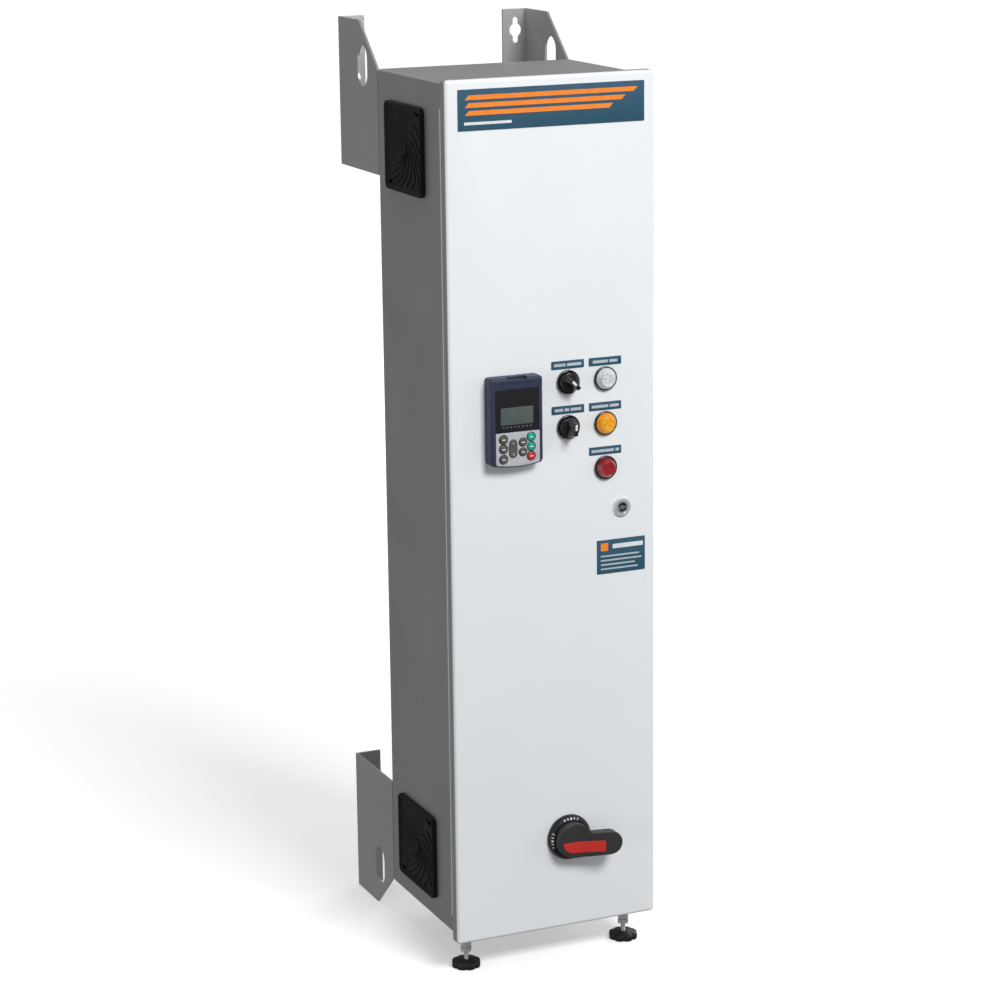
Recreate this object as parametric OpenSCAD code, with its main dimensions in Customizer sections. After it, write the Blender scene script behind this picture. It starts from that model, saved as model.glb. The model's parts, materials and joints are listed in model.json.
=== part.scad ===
// Packaged variable frequency drive: a tall, narrow wall-mounted steel enclosure with a hinged
// door, four stand-off wall brackets, two front levelling feet, and the drive, contactors,
// overload relay, transformer, terminals and disconnect switch on a panel inside.
// Units are millimetres. X runs to the right, Y runs back towards the wall, Z runs up.
// The origin is the bottom centre of the whole object: Z = 0 is the floor under the feet.

/* [Door] */
// Width of the door, the widest part of the front
door_w = 270; // [264:1:276]
// Height of the door
door_h = 1060; // [1050:1:1070]
// Depth of the door pan
door_depth = 15; // [14.5:0.1:15]
// Gap between the door's back edge and the enclosure's front face
door_gap = 3; // [3:0.1:4]

/* [Enclosure] */
// How much narrower than the door the enclosure is on each side
side_inset = 6; // [5.5:0.5:7]
// How far the enclosure's top and bottom lie inside the door's
end_inset = 5; // [4:1:7]
// Depth of the enclosure behind the door
box_d = 210; // [205:1:220]
// Thickness of the sheet steel
sheet = 1.5; // [1.2:0.1:2]
// Radius of the bends in the sheet steel
bend_r = 3; // [2.5:0.5:4]
// Clear width of the opening's rim
rim = 14; // [13:1:15]

/* [Wall brackets] */
// Distance from the enclosure's back to the wall
standoff = 130; // [120:1:140]
// Height of one bracket's side plate
bracket_h = 185; // [180:1:190]
// How far a bracket's corner reaches past the edge that it is bolted along
bracket_reach = 55; // [50:1:60]
// How far the bottom brackets are mounted above the enclosure's floor
bottom_lift = 5; // [0:1:8]
// Thickness of the bracket plate
bracket_t = 3; // [2:0.5:4]
// Width of the flange that lies against the wall
flange_w = 34; // [32:1:40]
// Width of the keyhole's slots
slot_w = 8; // [7:0.5:9]
// Length of the keyhole from slot end to slot end
slot_len = 33; // [32:1:38]

/* [Controls] */
// Outer diameter of the bezel rings
bezel_d = 29.5; // [28:0.5:30]
// Pitch of the controls up the door
control_pitch = 55; // [52:1:58]
// How far the disconnect lever stands out of the door
lever_reach = 33; // [30:1:38]

/* [Hidden] */
$fn = 64;
fit = 0.05;           // radial clearance of a shaft that turns in a bearing
slack = 0.4;          // clearance of a part that slides or sits loosely
cut = 1;              // how far a cutting tool runs past the surface it opens

overall_d = lever_reach + door_depth + door_gap + box_d + standoff;
door_front = lever_reach - overall_d / 2;
box_front = door_depth + door_gap;
box_back = box_front + box_d;
box_w = door_w - 2 * side_inset;
box_h = door_h - 2 * end_inset;
box_z = bracket_reach - bottom_lift;
box_mid_z = box_z + box_h / 2;
box_top_z = box_z + box_h;
door_z = box_z - end_inset;
door_mid_z = door_z + door_h / 2;
left_x = -box_w / 2;
inner_back = box_back - sheet;

// Hinge: a continuous one down the door's left edge
knuckle_r = 2.3;
knuckle_x = -door_w / 2 + knuckle_r;
knuckle_y = box_front - 0.3;
knuckle_count = 32;
knuckle_len = 31;
hinge_len = knuckle_count * knuckle_len;
hinge_z = door_mid_z - hinge_len / 2;
hinge_pin_r = 1.2;
leaf_t = 1;

// Gasket and the rim that it seals against
lip_front = 8;
lip_w = box_w - 2 * rim;
lip_h = box_h - 2 * rim;
gasket_w = 10;

// Bracket's cut corner, its hand hole, its keyhole and its bolts
bracket_top_w = 70;
hand_hole_in = 49;
hand_hole_w = 32;
hand_hole_h = 50;
keyhole_inset = 16;
keyhole_drop = 27;
keyhole_r = 8.5;
bolt_inset = 18;
bolt_r = 3;
hex_r = 5.8;
rivet_r = 1.6;
rivet_head_r = 2.6;
rivet_head_h = 0.8;

// Fan and filter covers on the left side
cover_w = 116;
cover_h = 107;
cover_t = 6;
cover_y = 136;
upper_cover_z = door_z + 967.5;
lower_cover_z = door_z + 85;
fan_size = 92;
fan_depth = 25;
fan_r = 42;

// Conduit entries in the floor
power_conduit_r = 17.3;
control_conduit_r = 11.2;
conduit_x = [-62, 62];
conduit_y = 150;
gland_w = 216;
gland_d = 116;
screw_r = 2;

// Levelling feet
foot_x = 109;
foot_y = 36.5;
stud_r = 3;
sleeve_r = 6.5;
sleeve_low = 26.5;
nut_low = 20.5;
pad_r = 18.5;
pad_edge_h = 8;
pad_h = 10;

// Rivets that hold the inner supports to each side: [depth behind the door's front, height above the floor pan]
rivets = [[142, 803], [142, 670], [142, 538], [142, 405], [142, 273], [97, 537], [97, 405], [51, 669], [51, 582]];

// Front controls: heights of the three rows and the two columns
row_z = [for (i = [0:2]) door_z + 694 - i * control_pitch];
selector_x = 18.5;
lamp_x = 68;
bezel_t = 4;
lens_r = 13;
lens_top_r = 8.8;
lens_h = 11;
knob_r = 12.6;
knob_reach = 25;
legend_w = 43;
legend_h = 10;
legend_up = 21;
caution_x = 89;
caution_z = door_z + 471.5;
caution_w = 65;
caution_h = 42.5;
block_w = 28;
block_h = 40;

// Keypad
keypad_x = -56;
keypad_z = door_z + 654.5;
keypad_w = 68;
keypad_h = 109;
keypad_d = 18;
window_w = 56;
window_h = 51;
window_z = keypad_z + 15.5;
key_panel_z = keypad_z - 11.2;
key_panel_x = keypad_x + 0.75;
key_r = 5;
small_key_r = 4.6;
key_rise = 1.6;
key_travel = 1;

// Lock
lock_x = 90;
lock_z = door_z + 532;
lock_r = 12;
core_r = 7;
cam_len = 32;
cam_w = 12;

// Disconnect handle
handle_x = 16;
handle_z = door_z + 118.5;
escutcheon_r = 29;
escutcheon_t = 9;
hub_r = 22.5;
lever_r = 14.7;
lever_x = 44.5;
lever_drop = 5.5;
shaft_r = 4;
shaft_w = 7;
socket_w = 10.2;
shaft_front = 4;

// Panel inside and what it carries
panel_w = 220;
panel_h = 990;
panel_t = 2;
panel_front = inner_back - 10 - panel_t;
rail_heights = [550, 335];
rail_d = 7.5;
drive_w = 170;
drive_h = 262;
drive_z = 800;
sink_d = 60;
housing_d = 78;
contactor_w = 45;
contactor_h = 74;
contactor_d = 78;
contactor_x = [-42, 28];
contactor_z = rail_heights[0];
contactor_front = panel_front - rail_d - contactor_d;
relay_h = 62;
relay_z = contactor_z - contactor_h / 2 - relay_h / 2;
relay_front = panel_front - 72;
slider_travel = 3;
reset_r = 4;
reset_travel = 2;
switch_w = 92;
switch_h = 84;
switch_d = 62;
duct_w = 25;
duct_d = 48;
duct_z = [215, 655];

// ---------- Placing and shaping helpers ----------

// Moves its children to a place given from the door's front face
module at(x = 0, y = 0, z = 0) {
    translate([x, door_front + y, z]) children();
}

// Stands an outline up facing the front, with its thickness running back
module facing_front(t) {
    translate([0, t, 0]) rotate([90, 0, 0]) linear_extrude(t) children();
}

// Stands an outline up facing the side: its x runs back, its y runs up
module facing_side(t) {
    rotate([90, 0, 90]) linear_extrude(t) children();
}

// Round bar along Y from y0 to y1
module rod(r, y0, y1) {
    translate([0, y0, 0]) rotate([-90, 0, 0]) cylinder(h = y1 - y0, r = r);
}

// Turned shape about an axis along Y: the outline's x is the radius, its y is depth
module turned() {
    rotate([-90, 0, 0]) rotate_extrude() children();
}

// Block centred in X and Z that runs from y0 to y1
module block(w, h, y0, y1) {
    translate([-w / 2, y0, -h / 2]) cube([w, y1 - y0, h]);
}

module rounded_rect(w, h, r) {
    square([w - 2 * r, h], center = true);
    square([w, h - 2 * r], center = true);
    for (sx = [-1, 1], sy = [-1, 1])
        translate([sx * (w / 2 - r), sy * (h / 2 - r)]) circle(r);
}

module obround(w, len) {
    square([w, len - w], center = true);
    for (s = [-1, 1]) translate([0, s * (len - w) / 2]) circle(w / 2);
}

// Block with all its edges rounded, centred in X and Z, its front at y = 0
module bent_block(w, d, h, r) {
    intersection() {
        translate([0, d / 2, -h / 2]) linear_extrude(h) rounded_rect(w, d, r);
        translate([-w / 2, d / 2, 0]) facing_side(w) rounded_rect(d, h, r);
        facing_front(d) rounded_rect(w, h, r);
    }
}

// ---------- Enclosure ----------

// Hairlines along the edges where the six sheets of the enclosure are welded together
module weld_seams() {
    seam = 0.05;
    for (s = [-1, 1]) {
        translate([s * (box_w / 2 - sheet), 0, 0]) block(seam, box_h + cut, -cut, box_d + cut);
        translate([0, 0, s * (box_h / 2 - sheet)]) block(box_w - 2 * sheet, seam, -cut, box_d + cut);
    }
}

module enclosure_body() {
    color("dimgray") at(0, box_front, box_mid_z) difference() {
        union() {
            difference() {
                bent_block(box_w, box_d, box_h, bend_r);
                block(box_w - 2 * sheet, box_h - 2 * sheet, sheet, box_d - sheet);
                weld_seams();
            }
            translate([0, lip_front - box_front, 0])
                facing_front(box_front - lip_front + sheet)
                    rounded_rect(lip_w + 2 * sheet, lip_h + 2 * sheet, bend_r);
        }
        translate([0, lip_front - box_front - cut, 0])
            facing_front(box_front - lip_front + sheet + 2 * cut) rounded_rect(lip_w, lip_h, bend_r - sheet);
        // fan and filter openings in the left side
        translate([left_x - cut, cover_y - box_front, upper_cover_z - box_mid_z])
            rotate([0, 90, 0]) cylinder(h = sheet + 2 * cut, r = fan_r);
        translate([left_x - cut, cover_y - box_front, lower_cover_z - box_mid_z])
            facing_side(sheet + 2 * cut) square([cover_w - 24, cover_h - 20], center = true);
        // the floor's opening under the gland plate, its screws, and the levelling feet
        translate([0, conduit_y - box_front, -box_h / 2 - cut]) linear_extrude(sheet + 2 * cut) {
            square([gland_w - 16, gland_d - 16], center = true);
            for (sx = [-1, 1], sy = [-1, 1])
                translate([sx * (gland_w / 2 - 4), sy * (gland_d / 2 - 4)]) circle(screw_r);
        }
        for (s = [-1, 1]) translate([s * foot_x, foot_y - box_front, -box_h / 2 - cut])
            cylinder(h = sheet + 2 * cut, r = sleeve_r);
        // bolt holes for the brackets, and rivet holes in the sides
        for (s = [-1, 1], z = bolt_heights())
            translate([s * (box_w / 2 - bolt_inset), 0, z - box_mid_z]) rod(bolt_r, box_d - sheet - cut, box_d + cut);
        for (s = [-1, 1], r = rivets)
            translate([s * box_w / 2, r[0] - box_front, r[1] - box_h / 2])
                rotate([0, 90, 0]) cylinder(h = 4 * sheet, r = rivet_r, center = true);
    }
}

// Removable plate over the floor's opening, with the conduit entries
module gland_plate() {
    color("dimgray") at(0, conduit_y, box_z + sheet) linear_extrude(sheet) difference() {
        rounded_rect(gland_w, gland_d, 4);
        for (x = conduit_x) translate([x, 0]) circle(power_conduit_r);
        circle(control_conduit_r);
        for (sx = [-1, 1], sy = [-1, 1])
            translate([sx * (gland_w / 2 - 4), sy * (gland_d / 2 - 4)]) circle(screw_r);
    }
}

// Heights of the bracket bolts: two in each front flange
function bolt_heights() = [
    for (low = [box_z + bottom_lift, box_top_z - bracket_h + bracket_reach], up = [30, 100]) low + up
];

module mounting_panel() {
    color("gainsboro") at(0, 0, box_mid_z) difference() {
        union() {
            block(panel_w, panel_h, panel_front, panel_front + panel_t);
            for (s = [-1, 1]) translate([s * (panel_w - panel_t) / 2, 0, 0])
                block(panel_t, panel_h, panel_front, inner_back);
        }
        for (s = [-1, 1], z = bolt_heights())
            translate([s * (box_w / 2 - bolt_inset), 0, z - box_mid_z])
                block(16, 16, panel_front - cut, inner_back + cut);
    }
}

// ---------- Wall brackets ----------

// Side plate's outline: x runs back from the enclosure, y runs up, both from the enclosure's top back edge
module bracket_outline() {
    difference() {
        polygon([
            [0, bracket_reach - bracket_h], [standoff, bracket_reach - bracket_h],
            [standoff, bracket_reach], [standoff - bracket_top_w, bracket_reach], [0, 0]
        ]);
        translate([hand_hole_in, 0]) obround(hand_hole_w, hand_hole_h);
    }
}

// Wall flange's outline: its keyhole takes a screw head in the round middle
module wall_flange_outline() {
    difference() {
        translate([-flange_w, bracket_reach - bracket_h]) square([flange_w, bracket_h]);
        translate([-keyhole_inset, bracket_reach - keyhole_drop]) {
            circle(keyhole_r);
            obround(slot_w, slot_len);
        }
    }
}

// Bracket for the top right corner, at the enclosure's top back edge
module bracket() {
    plate_x = box_w / 2;
    foot_flange_w = 32;
    difference() {
        union() {
            translate([plate_x - bracket_t, 0, 0]) facing_side(bracket_t) bracket_outline();
            translate([plate_x, standoff - bracket_t, 0]) facing_front(bracket_t) wall_flange_outline();
            translate([plate_x - foot_flange_w, 0, bracket_reach - bracket_h])
                cube([foot_flange_w, bracket_t, bracket_h - bracket_reach - 2]);
        }
        for (up = [30, 100])
            translate([plate_x - bolt_inset, 0, bracket_reach - bracket_h + up])
                rod(bolt_r, -cut, bracket_t + cut);
    }
}

module bracket_top_right() {
    color("silver") at(0, box_back, box_top_z) bracket();
}

module bracket_top_left() {
    color("silver") at(0, box_back, box_top_z) mirror([1, 0, 0]) bracket();
}

module bracket_bottom_right() {
    color("silver") at(0, box_back, box_z + bottom_lift) mirror([0, 0, 1]) bracket();
}

module bracket_bottom_left() {
    color("silver") at(0, box_back, box_z + bottom_lift) mirror([0, 0, 1]) mirror([1, 0, 0]) bracket();
}

// Bracket bolts with their nuts, the rivets in the sides, and the gland plate's screws
module cabinet_fasteners() {
    color("silver") {
        for (s = [-1, 1], z = bolt_heights()) at(s * (box_w / 2 - bolt_inset), 0, z) {
            rod(bolt_r - fit, inner_back - 7, box_back + bracket_t);
            translate([0, box_back + bracket_t, 0]) rotate([-90, 0, 0]) cylinder(h = 4, r = hex_r, $fn = 6);
            translate([0, inner_back - 5, 0]) rotate([-90, 0, 0]) cylinder(h = 5, r = hex_r, $fn = 6);
        }
        for (s = [-1, 1], r = rivets) at(s * box_w / 2, r[0], box_z + r[1]) rotate([0, s * 90, 0]) {
            translate([0, 0, -sheet - 2]) cylinder(h = sheet + 2, r = rivet_r - fit);
            cylinder(h = rivet_head_h, r1 = rivet_head_r, r2 = rivet_head_r - 0.8);
        }
        for (sx = [-1, 1], sy = [-1, 1])
            at(sx * (gland_w / 2 - 4), conduit_y + sy * (gland_d / 2 - 4), box_z) {
                translate([0, 0, -2]) cylinder(h = 2, r = 3.6);
                cylinder(h = 2 * sheet + 4, r = screw_r - fit);
                translate([0, 0, 2 * sheet]) cylinder(h = 3, r = 4, $fn = 6);
            }
    }
}

// ---------- Hinge ----------

function knuckle_z(i) = hinge_z + i * knuckle_len;

// Every second knuckle, starting with the one given
module knuckles(first) {
    gap = 0.2;
    for (i = [first:2:knuckle_count - 1])
        at(knuckle_x, knuckle_y, knuckle_z(i) + gap) cylinder(h = knuckle_len - 2 * gap, r = knuckle_r);
}

module pin_bore() {
    at(knuckle_x, knuckle_y, hinge_z - cut) cylinder(h = hinge_len + 2 * cut, r = hinge_pin_r + fit);
}

module hinge_frame_leaf() {
    leaf_w = 12;
    tab_x = left_x - 0.6;
    color("silver") difference() {
        union() {
            knuckles(0);
            at(tab_x, box_front - leaf_t, hinge_z) cube([leaf_w, leaf_t, hinge_len]);
            for (i = [0:2:knuckle_count - 1])
                at(knuckle_x, box_front - leaf_t, knuckle_z(i) + 0.2)
                    cube([tab_x - knuckle_x + 1, leaf_t, knuckle_len - 0.4]);
        }
        pin_bore();
    }
}

module hinge_door_leaf() {
    leaf_x = -door_w / 2 + sheet;
    leaf_y = 4.6;
    leaf_back = door_depth - 0.3;
    color("silver") difference() {
        union() {
            knuckles(1);
            at(leaf_x, leaf_y, hinge_z) cube([leaf_t, leaf_back - leaf_y, hinge_len]);
            for (i = [1:2:knuckle_count - 1])
                at(leaf_x, leaf_back - 1, knuckle_z(i) + 0.2)
                    cube([leaf_t, knuckle_y - leaf_back + 1, knuckle_len - 0.4]);
        }
        pin_bore();
    }
}

module hinge_pin() {
    color("gray") at(knuckle_x, knuckle_y, hinge_z) cylinder(h = hinge_len, r = hinge_pin_r);
}

// ---------- Ventilation ----------

// Swirl cover: a raised frame round curved blades with air gaps between them
module swirl_cover() {
    corner = 8;
    blades = 12;
    blade_r = 34;
    base_t = 2;
    facing_side(base_t) difference() {
        rounded_rect(cover_w, cover_h, corner);
        circle(blade_r + 12);
    }
    facing_side(cover_t) difference() {
        rounded_rect(cover_w, cover_h, corner);
        rounded_rect(cover_w - 10, cover_h - 10, corner - 4);
    }
    facing_side(cover_t - 1) difference() {
        circle(blade_r + 13);
        circle(blade_r + 10);
    }
    facing_side(cover_t - 1.5) circle(7);
    facing_side(cover_t - 2) intersection() {
        circle(blade_r + 11);
        for (i = [0:blades - 1]) rotate(i * 360 / blades) translate([0, blade_r * 0.75])
            difference() {
                circle(blade_r * 0.8);
                translate([0.9, 0.9]) circle(blade_r * 0.8);
            }
    }
}

module fan_cover_upper() {
    color("black") at(left_x, cover_y, upper_cover_z) mirror([1, 0, 0]) swirl_cover();
}

module fan_cover_lower() {
    color("black") at(left_x, cover_y, lower_cover_z) mirror([1, 0, 0]) swirl_cover();
}

module fan_frame() {
    hub_plate_r = 17;
    color("#202020") at(left_x + sheet, cover_y, upper_cover_z) difference() {
        union() {
            facing_side(fan_depth) difference() {
                rounded_rect(fan_size, fan_size, 5);
                circle(fan_r + 0.5);
            }
            translate([fan_depth - 4, 0, 0]) facing_side(4) {
                circle(hub_plate_r);
                for (i = [0:3]) rotate(45 + i * 90) translate([0, -3]) square([fan_r + 2, 6]);
            }
        }
        rotate([0, 90, 0]) cylinder(h = fan_depth + cut, r = 2 + fit);
    }
}

// Seven blades round a hub on a short spindle
module fan_rotor() {
    blade_count = 7;
    hub = 16;
    hub_h = 17;
    color("#303030") at(left_x + sheet + 2, cover_y, upper_cover_z) rotate([0, 90, 0]) {
        cylinder(h = hub_h, r = hub);
        translate([0, 0, hub_h]) cylinder(h = 5, r = 2);
        for (i = [0:blade_count - 1]) rotate([0, 0, i * 360 / blade_count])
            translate([hub - 1.5, 0, hub_h / 2]) rotate([35, 0, 0])
                translate([0, -9, -0.8]) cube([fan_r - hub, 18, 1.6]);
    }
}

module filter_mat() {
    color("lightgray") at(left_x + sheet, cover_y, lower_cover_z)
        facing_side(12) square([cover_w - 8, cover_h - 6], center = true);
}

// ---------- Levelling feet ----------

module foot_sleeves() {
    color("silver") for (s = [-1, 1]) at(s * foot_x, foot_y, 0) difference() {
        union() {
            translate([0, 0, sleeve_low]) cylinder(h = box_z + 12 - sleeve_low, r = sleeve_r - fit);
            translate([0, 0, nut_low]) cylinder(h = sleeve_low - nut_low - 0.6, r = 7.4, $fn = 6);
            translate([0, 0, sleeve_low - 1]) cylinder(h = 1, r = sleeve_r - 1.5);
        }
        translate([0, 0, nut_low - cut]) cylinder(h = box_z + 14 - nut_low, r = stud_r + 0.1);
    }
}

// Stud and lobed swivel pad
module levelling_foot() {
    lobes = 8;
    color("silver") translate([0, 0, pad_h - 1]) cylinder(h = box_z + 5 - pad_h, r = stud_r);
    color("black") {
        linear_extrude(pad_edge_h) {
            circle(pad_r - 2);
            for (i = [0:lobes - 1]) rotate(i * 360 / lobes) translate([pad_r - 5, 0]) circle(5);
        }
        translate([0, 0, pad_edge_h - 1]) cylinder(h = pad_h - pad_edge_h + 1, r1 = pad_r - 5, r2 = 7);
    }
}

module foot_left() {
    at(-foot_x, foot_y, 0) levelling_foot();
}

module foot_right() {
    at(foot_x, foot_y, 0) levelling_foot();
}

// ---------- Drive and switchgear inside ----------

module drive_heatsink() {
    fins = 15;
    fin_t = 2.4;
    base_t = 8;
    pitch = (drive_w - fin_t) / (fins - 1);
    color("silver") at(0, 0, drive_z) {
        block(drive_w, drive_h - 20, panel_front - sink_d, panel_front - sink_d + base_t);
        for (i = [0:fins - 1]) translate([-drive_w / 2 + fin_t / 2 + i * pitch, 0, 0])
            block(fin_t, drive_h - 20, panel_front - sink_d + base_t, panel_front - 1.5);
        for (s = [-1, 1]) translate([0, 0, s * (drive_h / 2 - 16)])
            block(drive_w, 8, panel_front - 1.5, panel_front);
    }
}

module drive_housing() {
    y1 = panel_front - sink_d;
    color("#3b4654") at(0, 0, drive_z) difference() {
        translate([0, y1 - housing_d, 0]) bent_block(drive_w, housing_d, drive_h, 4);
        translate([0, 0, -drive_h / 2 + 26]) block(drive_w - 24, 40, y1 - housing_d - cut, y1 - 30);
        for (s = [-1, 1], i = [0:6]) translate([s * drive_w / 2, y1 - 40, -60 + i * 20])
            cube([6, 50, 6], center = true);
    }
}

module drive_cover() {
    y0 = panel_front - sink_d - housing_d;
    color("#2f3844") at(0, y0 - 8, drive_z + 24) difference() {
        bent_block(drive_w - 12, 8, drive_h - 62, 3.5);
        translate([0, 0, 38]) block(62, 70, -cut, 2.5);
        for (i = [0:8]) translate([0, 0, -84 + i * 8]) block(110, 3, -cut, 2);
    }
}

// The two identical contactors, without their moving bridges
module contactors() {
    color("#d9d7cf") for (x = contactor_x) at(x, contactor_front, contactor_z) difference() {
        union() {
            block(contactor_w, contactor_h - 18, 10, contactor_d);
            block(contactor_w - 4, contactor_h, 34, contactor_d - 6);
            block(contactor_w - 13, contactor_h - 34, 0, 12);
        }
        for (s = [-1, 1], i = [-1:1]) translate([i * 13, 0, s * (contactor_h / 2 - 5)])
            block(9, 12, 30, 46);
        block(10 + 2 * slack, 14 + 2 * slack, -cut, 8);
    }
}

module contactor_slider(x) {
    color("#303030") at(x, contactor_front - 1, contactor_z) block(10, 14, 0, 5);
}

module contactor_slider_drive() {
    contactor_slider(contactor_x[0]);
}

module contactor_slider_bypass() {
    contactor_slider(contactor_x[1]);
}

module overload_relay() {
    depth = panel_front - relay_front;
    color("#c9c7be") at(contactor_x[1], relay_front, relay_z) difference() {
        union() {
            block(contactor_w, relay_h, 6, depth - 4);
            block(contactor_w - 10, relay_h - 24, 0, 7);
        }
        translate([-9, 0, 8]) rod(reset_r + slack, -cut, 8);
        translate([9, 0, 8]) rod(5, -cut, 2);
        for (i = [-1:1]) translate([i * 13, 0, -relay_h / 2 + 6]) block(9, 8, 5, 16);
    }
}

module overload_reset() {
    color("royalblue") at(contactor_x[1] - 9, relay_front - 1.5, relay_z + 8) rod(reset_r, 0, 6);
}

module control_transformer() {
    core_w = 78;
    core_h = 64;
    core_d = 40;
    coil_w = 46;
    coil_h = 50;
    transformer_z = 1015;
    color("#4a4a4a") at(22, panel_front, transformer_z) {
        difference() {
            translate([0, -core_d - 8, 0]) block(core_w, core_h, 0, core_d);
            for (s = [-1, 1]) translate([s * 17.5, 0, 0]) block(9, 40, -core_d - 8 - cut, -8 + cut);
        }
        for (s = [-1, 1]) translate([s * 34, 0, 0]) block(10, core_h + 14, -8, 0);
        for (y = [-core_d - 16, -8]) block(coil_w, coil_h - 12, y, y + 7.5);
        for (s = [-1, 1]) translate([s * 17.5, 0, 0]) block(8, 38, -core_d - 8, -8);
        translate([0, 0, core_h / 2 + 6]) block(core_w - 8, 12, -42, -14);
    }
}

module terminal_block() {
    pitch = 8;
    count = 18;
    color("#b9bfb4") for (i = [0:count - 1])
        at((i - (count - 1) / 2) * pitch, panel_front - rail_d, rail_heights[1]) difference() {
            union() {
                block(pitch - 0.6, 44, -30, 0);
                block(pitch - 0.6, 26, -40, -29);
            }
            for (s = [-1, 1]) translate([0, 0, s * 16]) rod(2.4, -30 - cut, -24);
            for (s = [-1, 1]) translate([0, 0, s * 8]) rod(2, -40 - cut, -36);
        }
}

// Top-hat rails that the contactors and the terminals clip to
module din_rails() {
    rail_t = 1;
    color("silver") for (z = rail_heights) at(0, panel_front, z) {
        block(150, 25, -rail_t, 0);
        for (s = [-1, 1]) translate([0, 0, s * 13]) {
            block(150, rail_t, -rail_d + rail_t, 0);
            translate([0, 0, s * 2.25]) block(150, 5.5, -rail_d, -rail_d + rail_t);
        }
    }
}

// Slotted wire duct standing against the panel, with its cover
module wire_duct(len) {
    finger = 12;
    slot = 5;
    wall = 1.6;
    count = floor(len / finger);
    translate([-duct_w / 2, -wall, 0]) cube([duct_w, wall, len]);
    for (s = [-1, 1]) translate([s * (duct_w - wall) / 2, 0, 0]) translate([-wall / 2, 0, 0])
        rotate([90, 0, 90]) linear_extrude(wall) union() {
            translate([-14, 0]) square([14, len]);
            for (i = [0:count - 1]) translate([-duct_d + 2, i * finger + slot / 2])
                square([duct_d - 12, finger - slot]);
        }
    translate([-duct_w / 2 - 0.6, -duct_d, 0]) cube([duct_w + 1.2, 2, len]);
}

module wire_ducts() {
    color("#9aa0a3") for (s = [-1, 1]) at(s * (panel_w / 2 - duct_w / 2 - 2), panel_front, duct_z[0])
        wire_duct(duct_z[1] - duct_z[0]);
}

module disconnect_switch() {
    color("#2b2b2b") at(handle_x, panel_front, handle_z) difference() {
        union() {
            block(switch_w, switch_h, -switch_d + 14, 0);
            block(switch_w - 30, switch_h - 26, -switch_d, -switch_d + 15);
        }
        for (s = [-1, 1], i = [-1:1]) translate([i * 26, 0, s * switch_h / 2])
            block(16, 26, -switch_d + 14 - cut, -12);
        rod(shaft_r + fit, -switch_d - cut, -14);
    }
}

// Square bar that the handle's socket fits over, round where it turns in the switch
module disconnect_shaft() {
    round_front = panel_front - switch_d - 1;
    color("silver") at(handle_x, 0, handle_z) {
        block(shaft_w, shaft_w, shaft_front, round_front + 1);
        rod(shaft_r, round_front, panel_front - 16);
    }
}

// ---------- Door ----------

module door() {
    color("whitesmoke") at(0, 0, door_mid_z) difference() {
        bent_block(door_w, door_depth + 10, door_h, 4);
        translate([0, sheet, 0]) bent_block(door_w - 2 * sheet, door_depth + 12, door_h - 2 * sheet, 2.5);
        block(door_w + 2, door_h + 2, door_depth, door_depth + 12);
        translate([keypad_x, 0, keypad_z - door_mid_z]) block(keypad_w - 12, keypad_h - 18, -cut, sheet + cut);
        for (p = control_places()) translate([p[0], 0, p[1] - door_mid_z]) rod(11.15, -cut, sheet + cut);
        translate([lock_x, 0, lock_z - door_mid_z]) rod(9.6, -cut, sheet + cut);
        translate([handle_x, 0, handle_z - door_mid_z]) rod(13, -cut, sheet + cut);
    }
}

// Where the five round controls stand: [x, z]
function control_places() = [
    [selector_x, row_z[0]], [selector_x, row_z[1]],
    [lamp_x, row_z[0]], [lamp_x, row_z[1]], [lamp_x, row_z[2]]
];

module door_gasket() {
    color("#151515") at(0, sheet, door_mid_z) facing_front(lip_front - sheet - 0.2) difference() {
        rounded_rect(lip_w + sheet + gasket_w, lip_h + sheet + gasket_w, 6);
        rounded_rect(lip_w + sheet - gasket_w, lip_h + sheet - gasket_w, 3);
    }
}

// Thin plate stuck on the door
module plate(w, h, t) {
    translate([0, -t, 0]) facing_front(t) rounded_rect(w, h, 1);
}

module nameplate() {
    color("steelblue") at(0.5, 0, door_z + 1024.5) plate(240, 48, 0.8);
}

// Five legends over the controls, and the larger caution plate
module legend_plates() {
    color("steelblue") {
        for (p = control_places()) at(p[0], 0, p[1] + legend_up) plate(legend_w, legend_h, 0.8);
        at(caution_x, 0, caution_z) plate(caution_w, caution_h, 0.8);
    }
}

// ---------- Keypad ----------

// Keypad's front outline: square shoulders, arched foot
module keypad_outline(inset = 0) {
    arch_r = 150;
    intersection() {
        rounded_rect(keypad_w - 2 * inset, keypad_h - 2 * inset, 4);
        translate([0, arch_r - keypad_h / 2 + inset]) circle(arch_r, $fn = 180);
    }
}

// Round keys, down the left, middle and right columns: [x and z from the keypad's middle, radius]
key_places = [
    [-18.2, -19, key_r], [-18.2, -30.6, key_r], [-18.2, -43.1, key_r],
    [7, -24.2, small_key_r], [7, -36, small_key_r],
    [17.8, -18.4, key_r], [17.8, -30.1, key_r], [17.8, -41.7, key_r]
];
rocker_x = -5.6;
rocker_z = -31;
rocker_w = 10.4;
rocker_h = 22;
rocker_pivot_y = 3.5;

module key_pockets(grow, y0, y1) {
    for (k = key_places) translate([k[0], 0, k[1]]) rod(k[2] + grow, y0, y1);
    translate([rocker_x, y0, rocker_z])
        facing_front(y1 - y0) obround(rocker_w + 2 * grow, rocker_h + 2 * grow);
}

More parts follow.
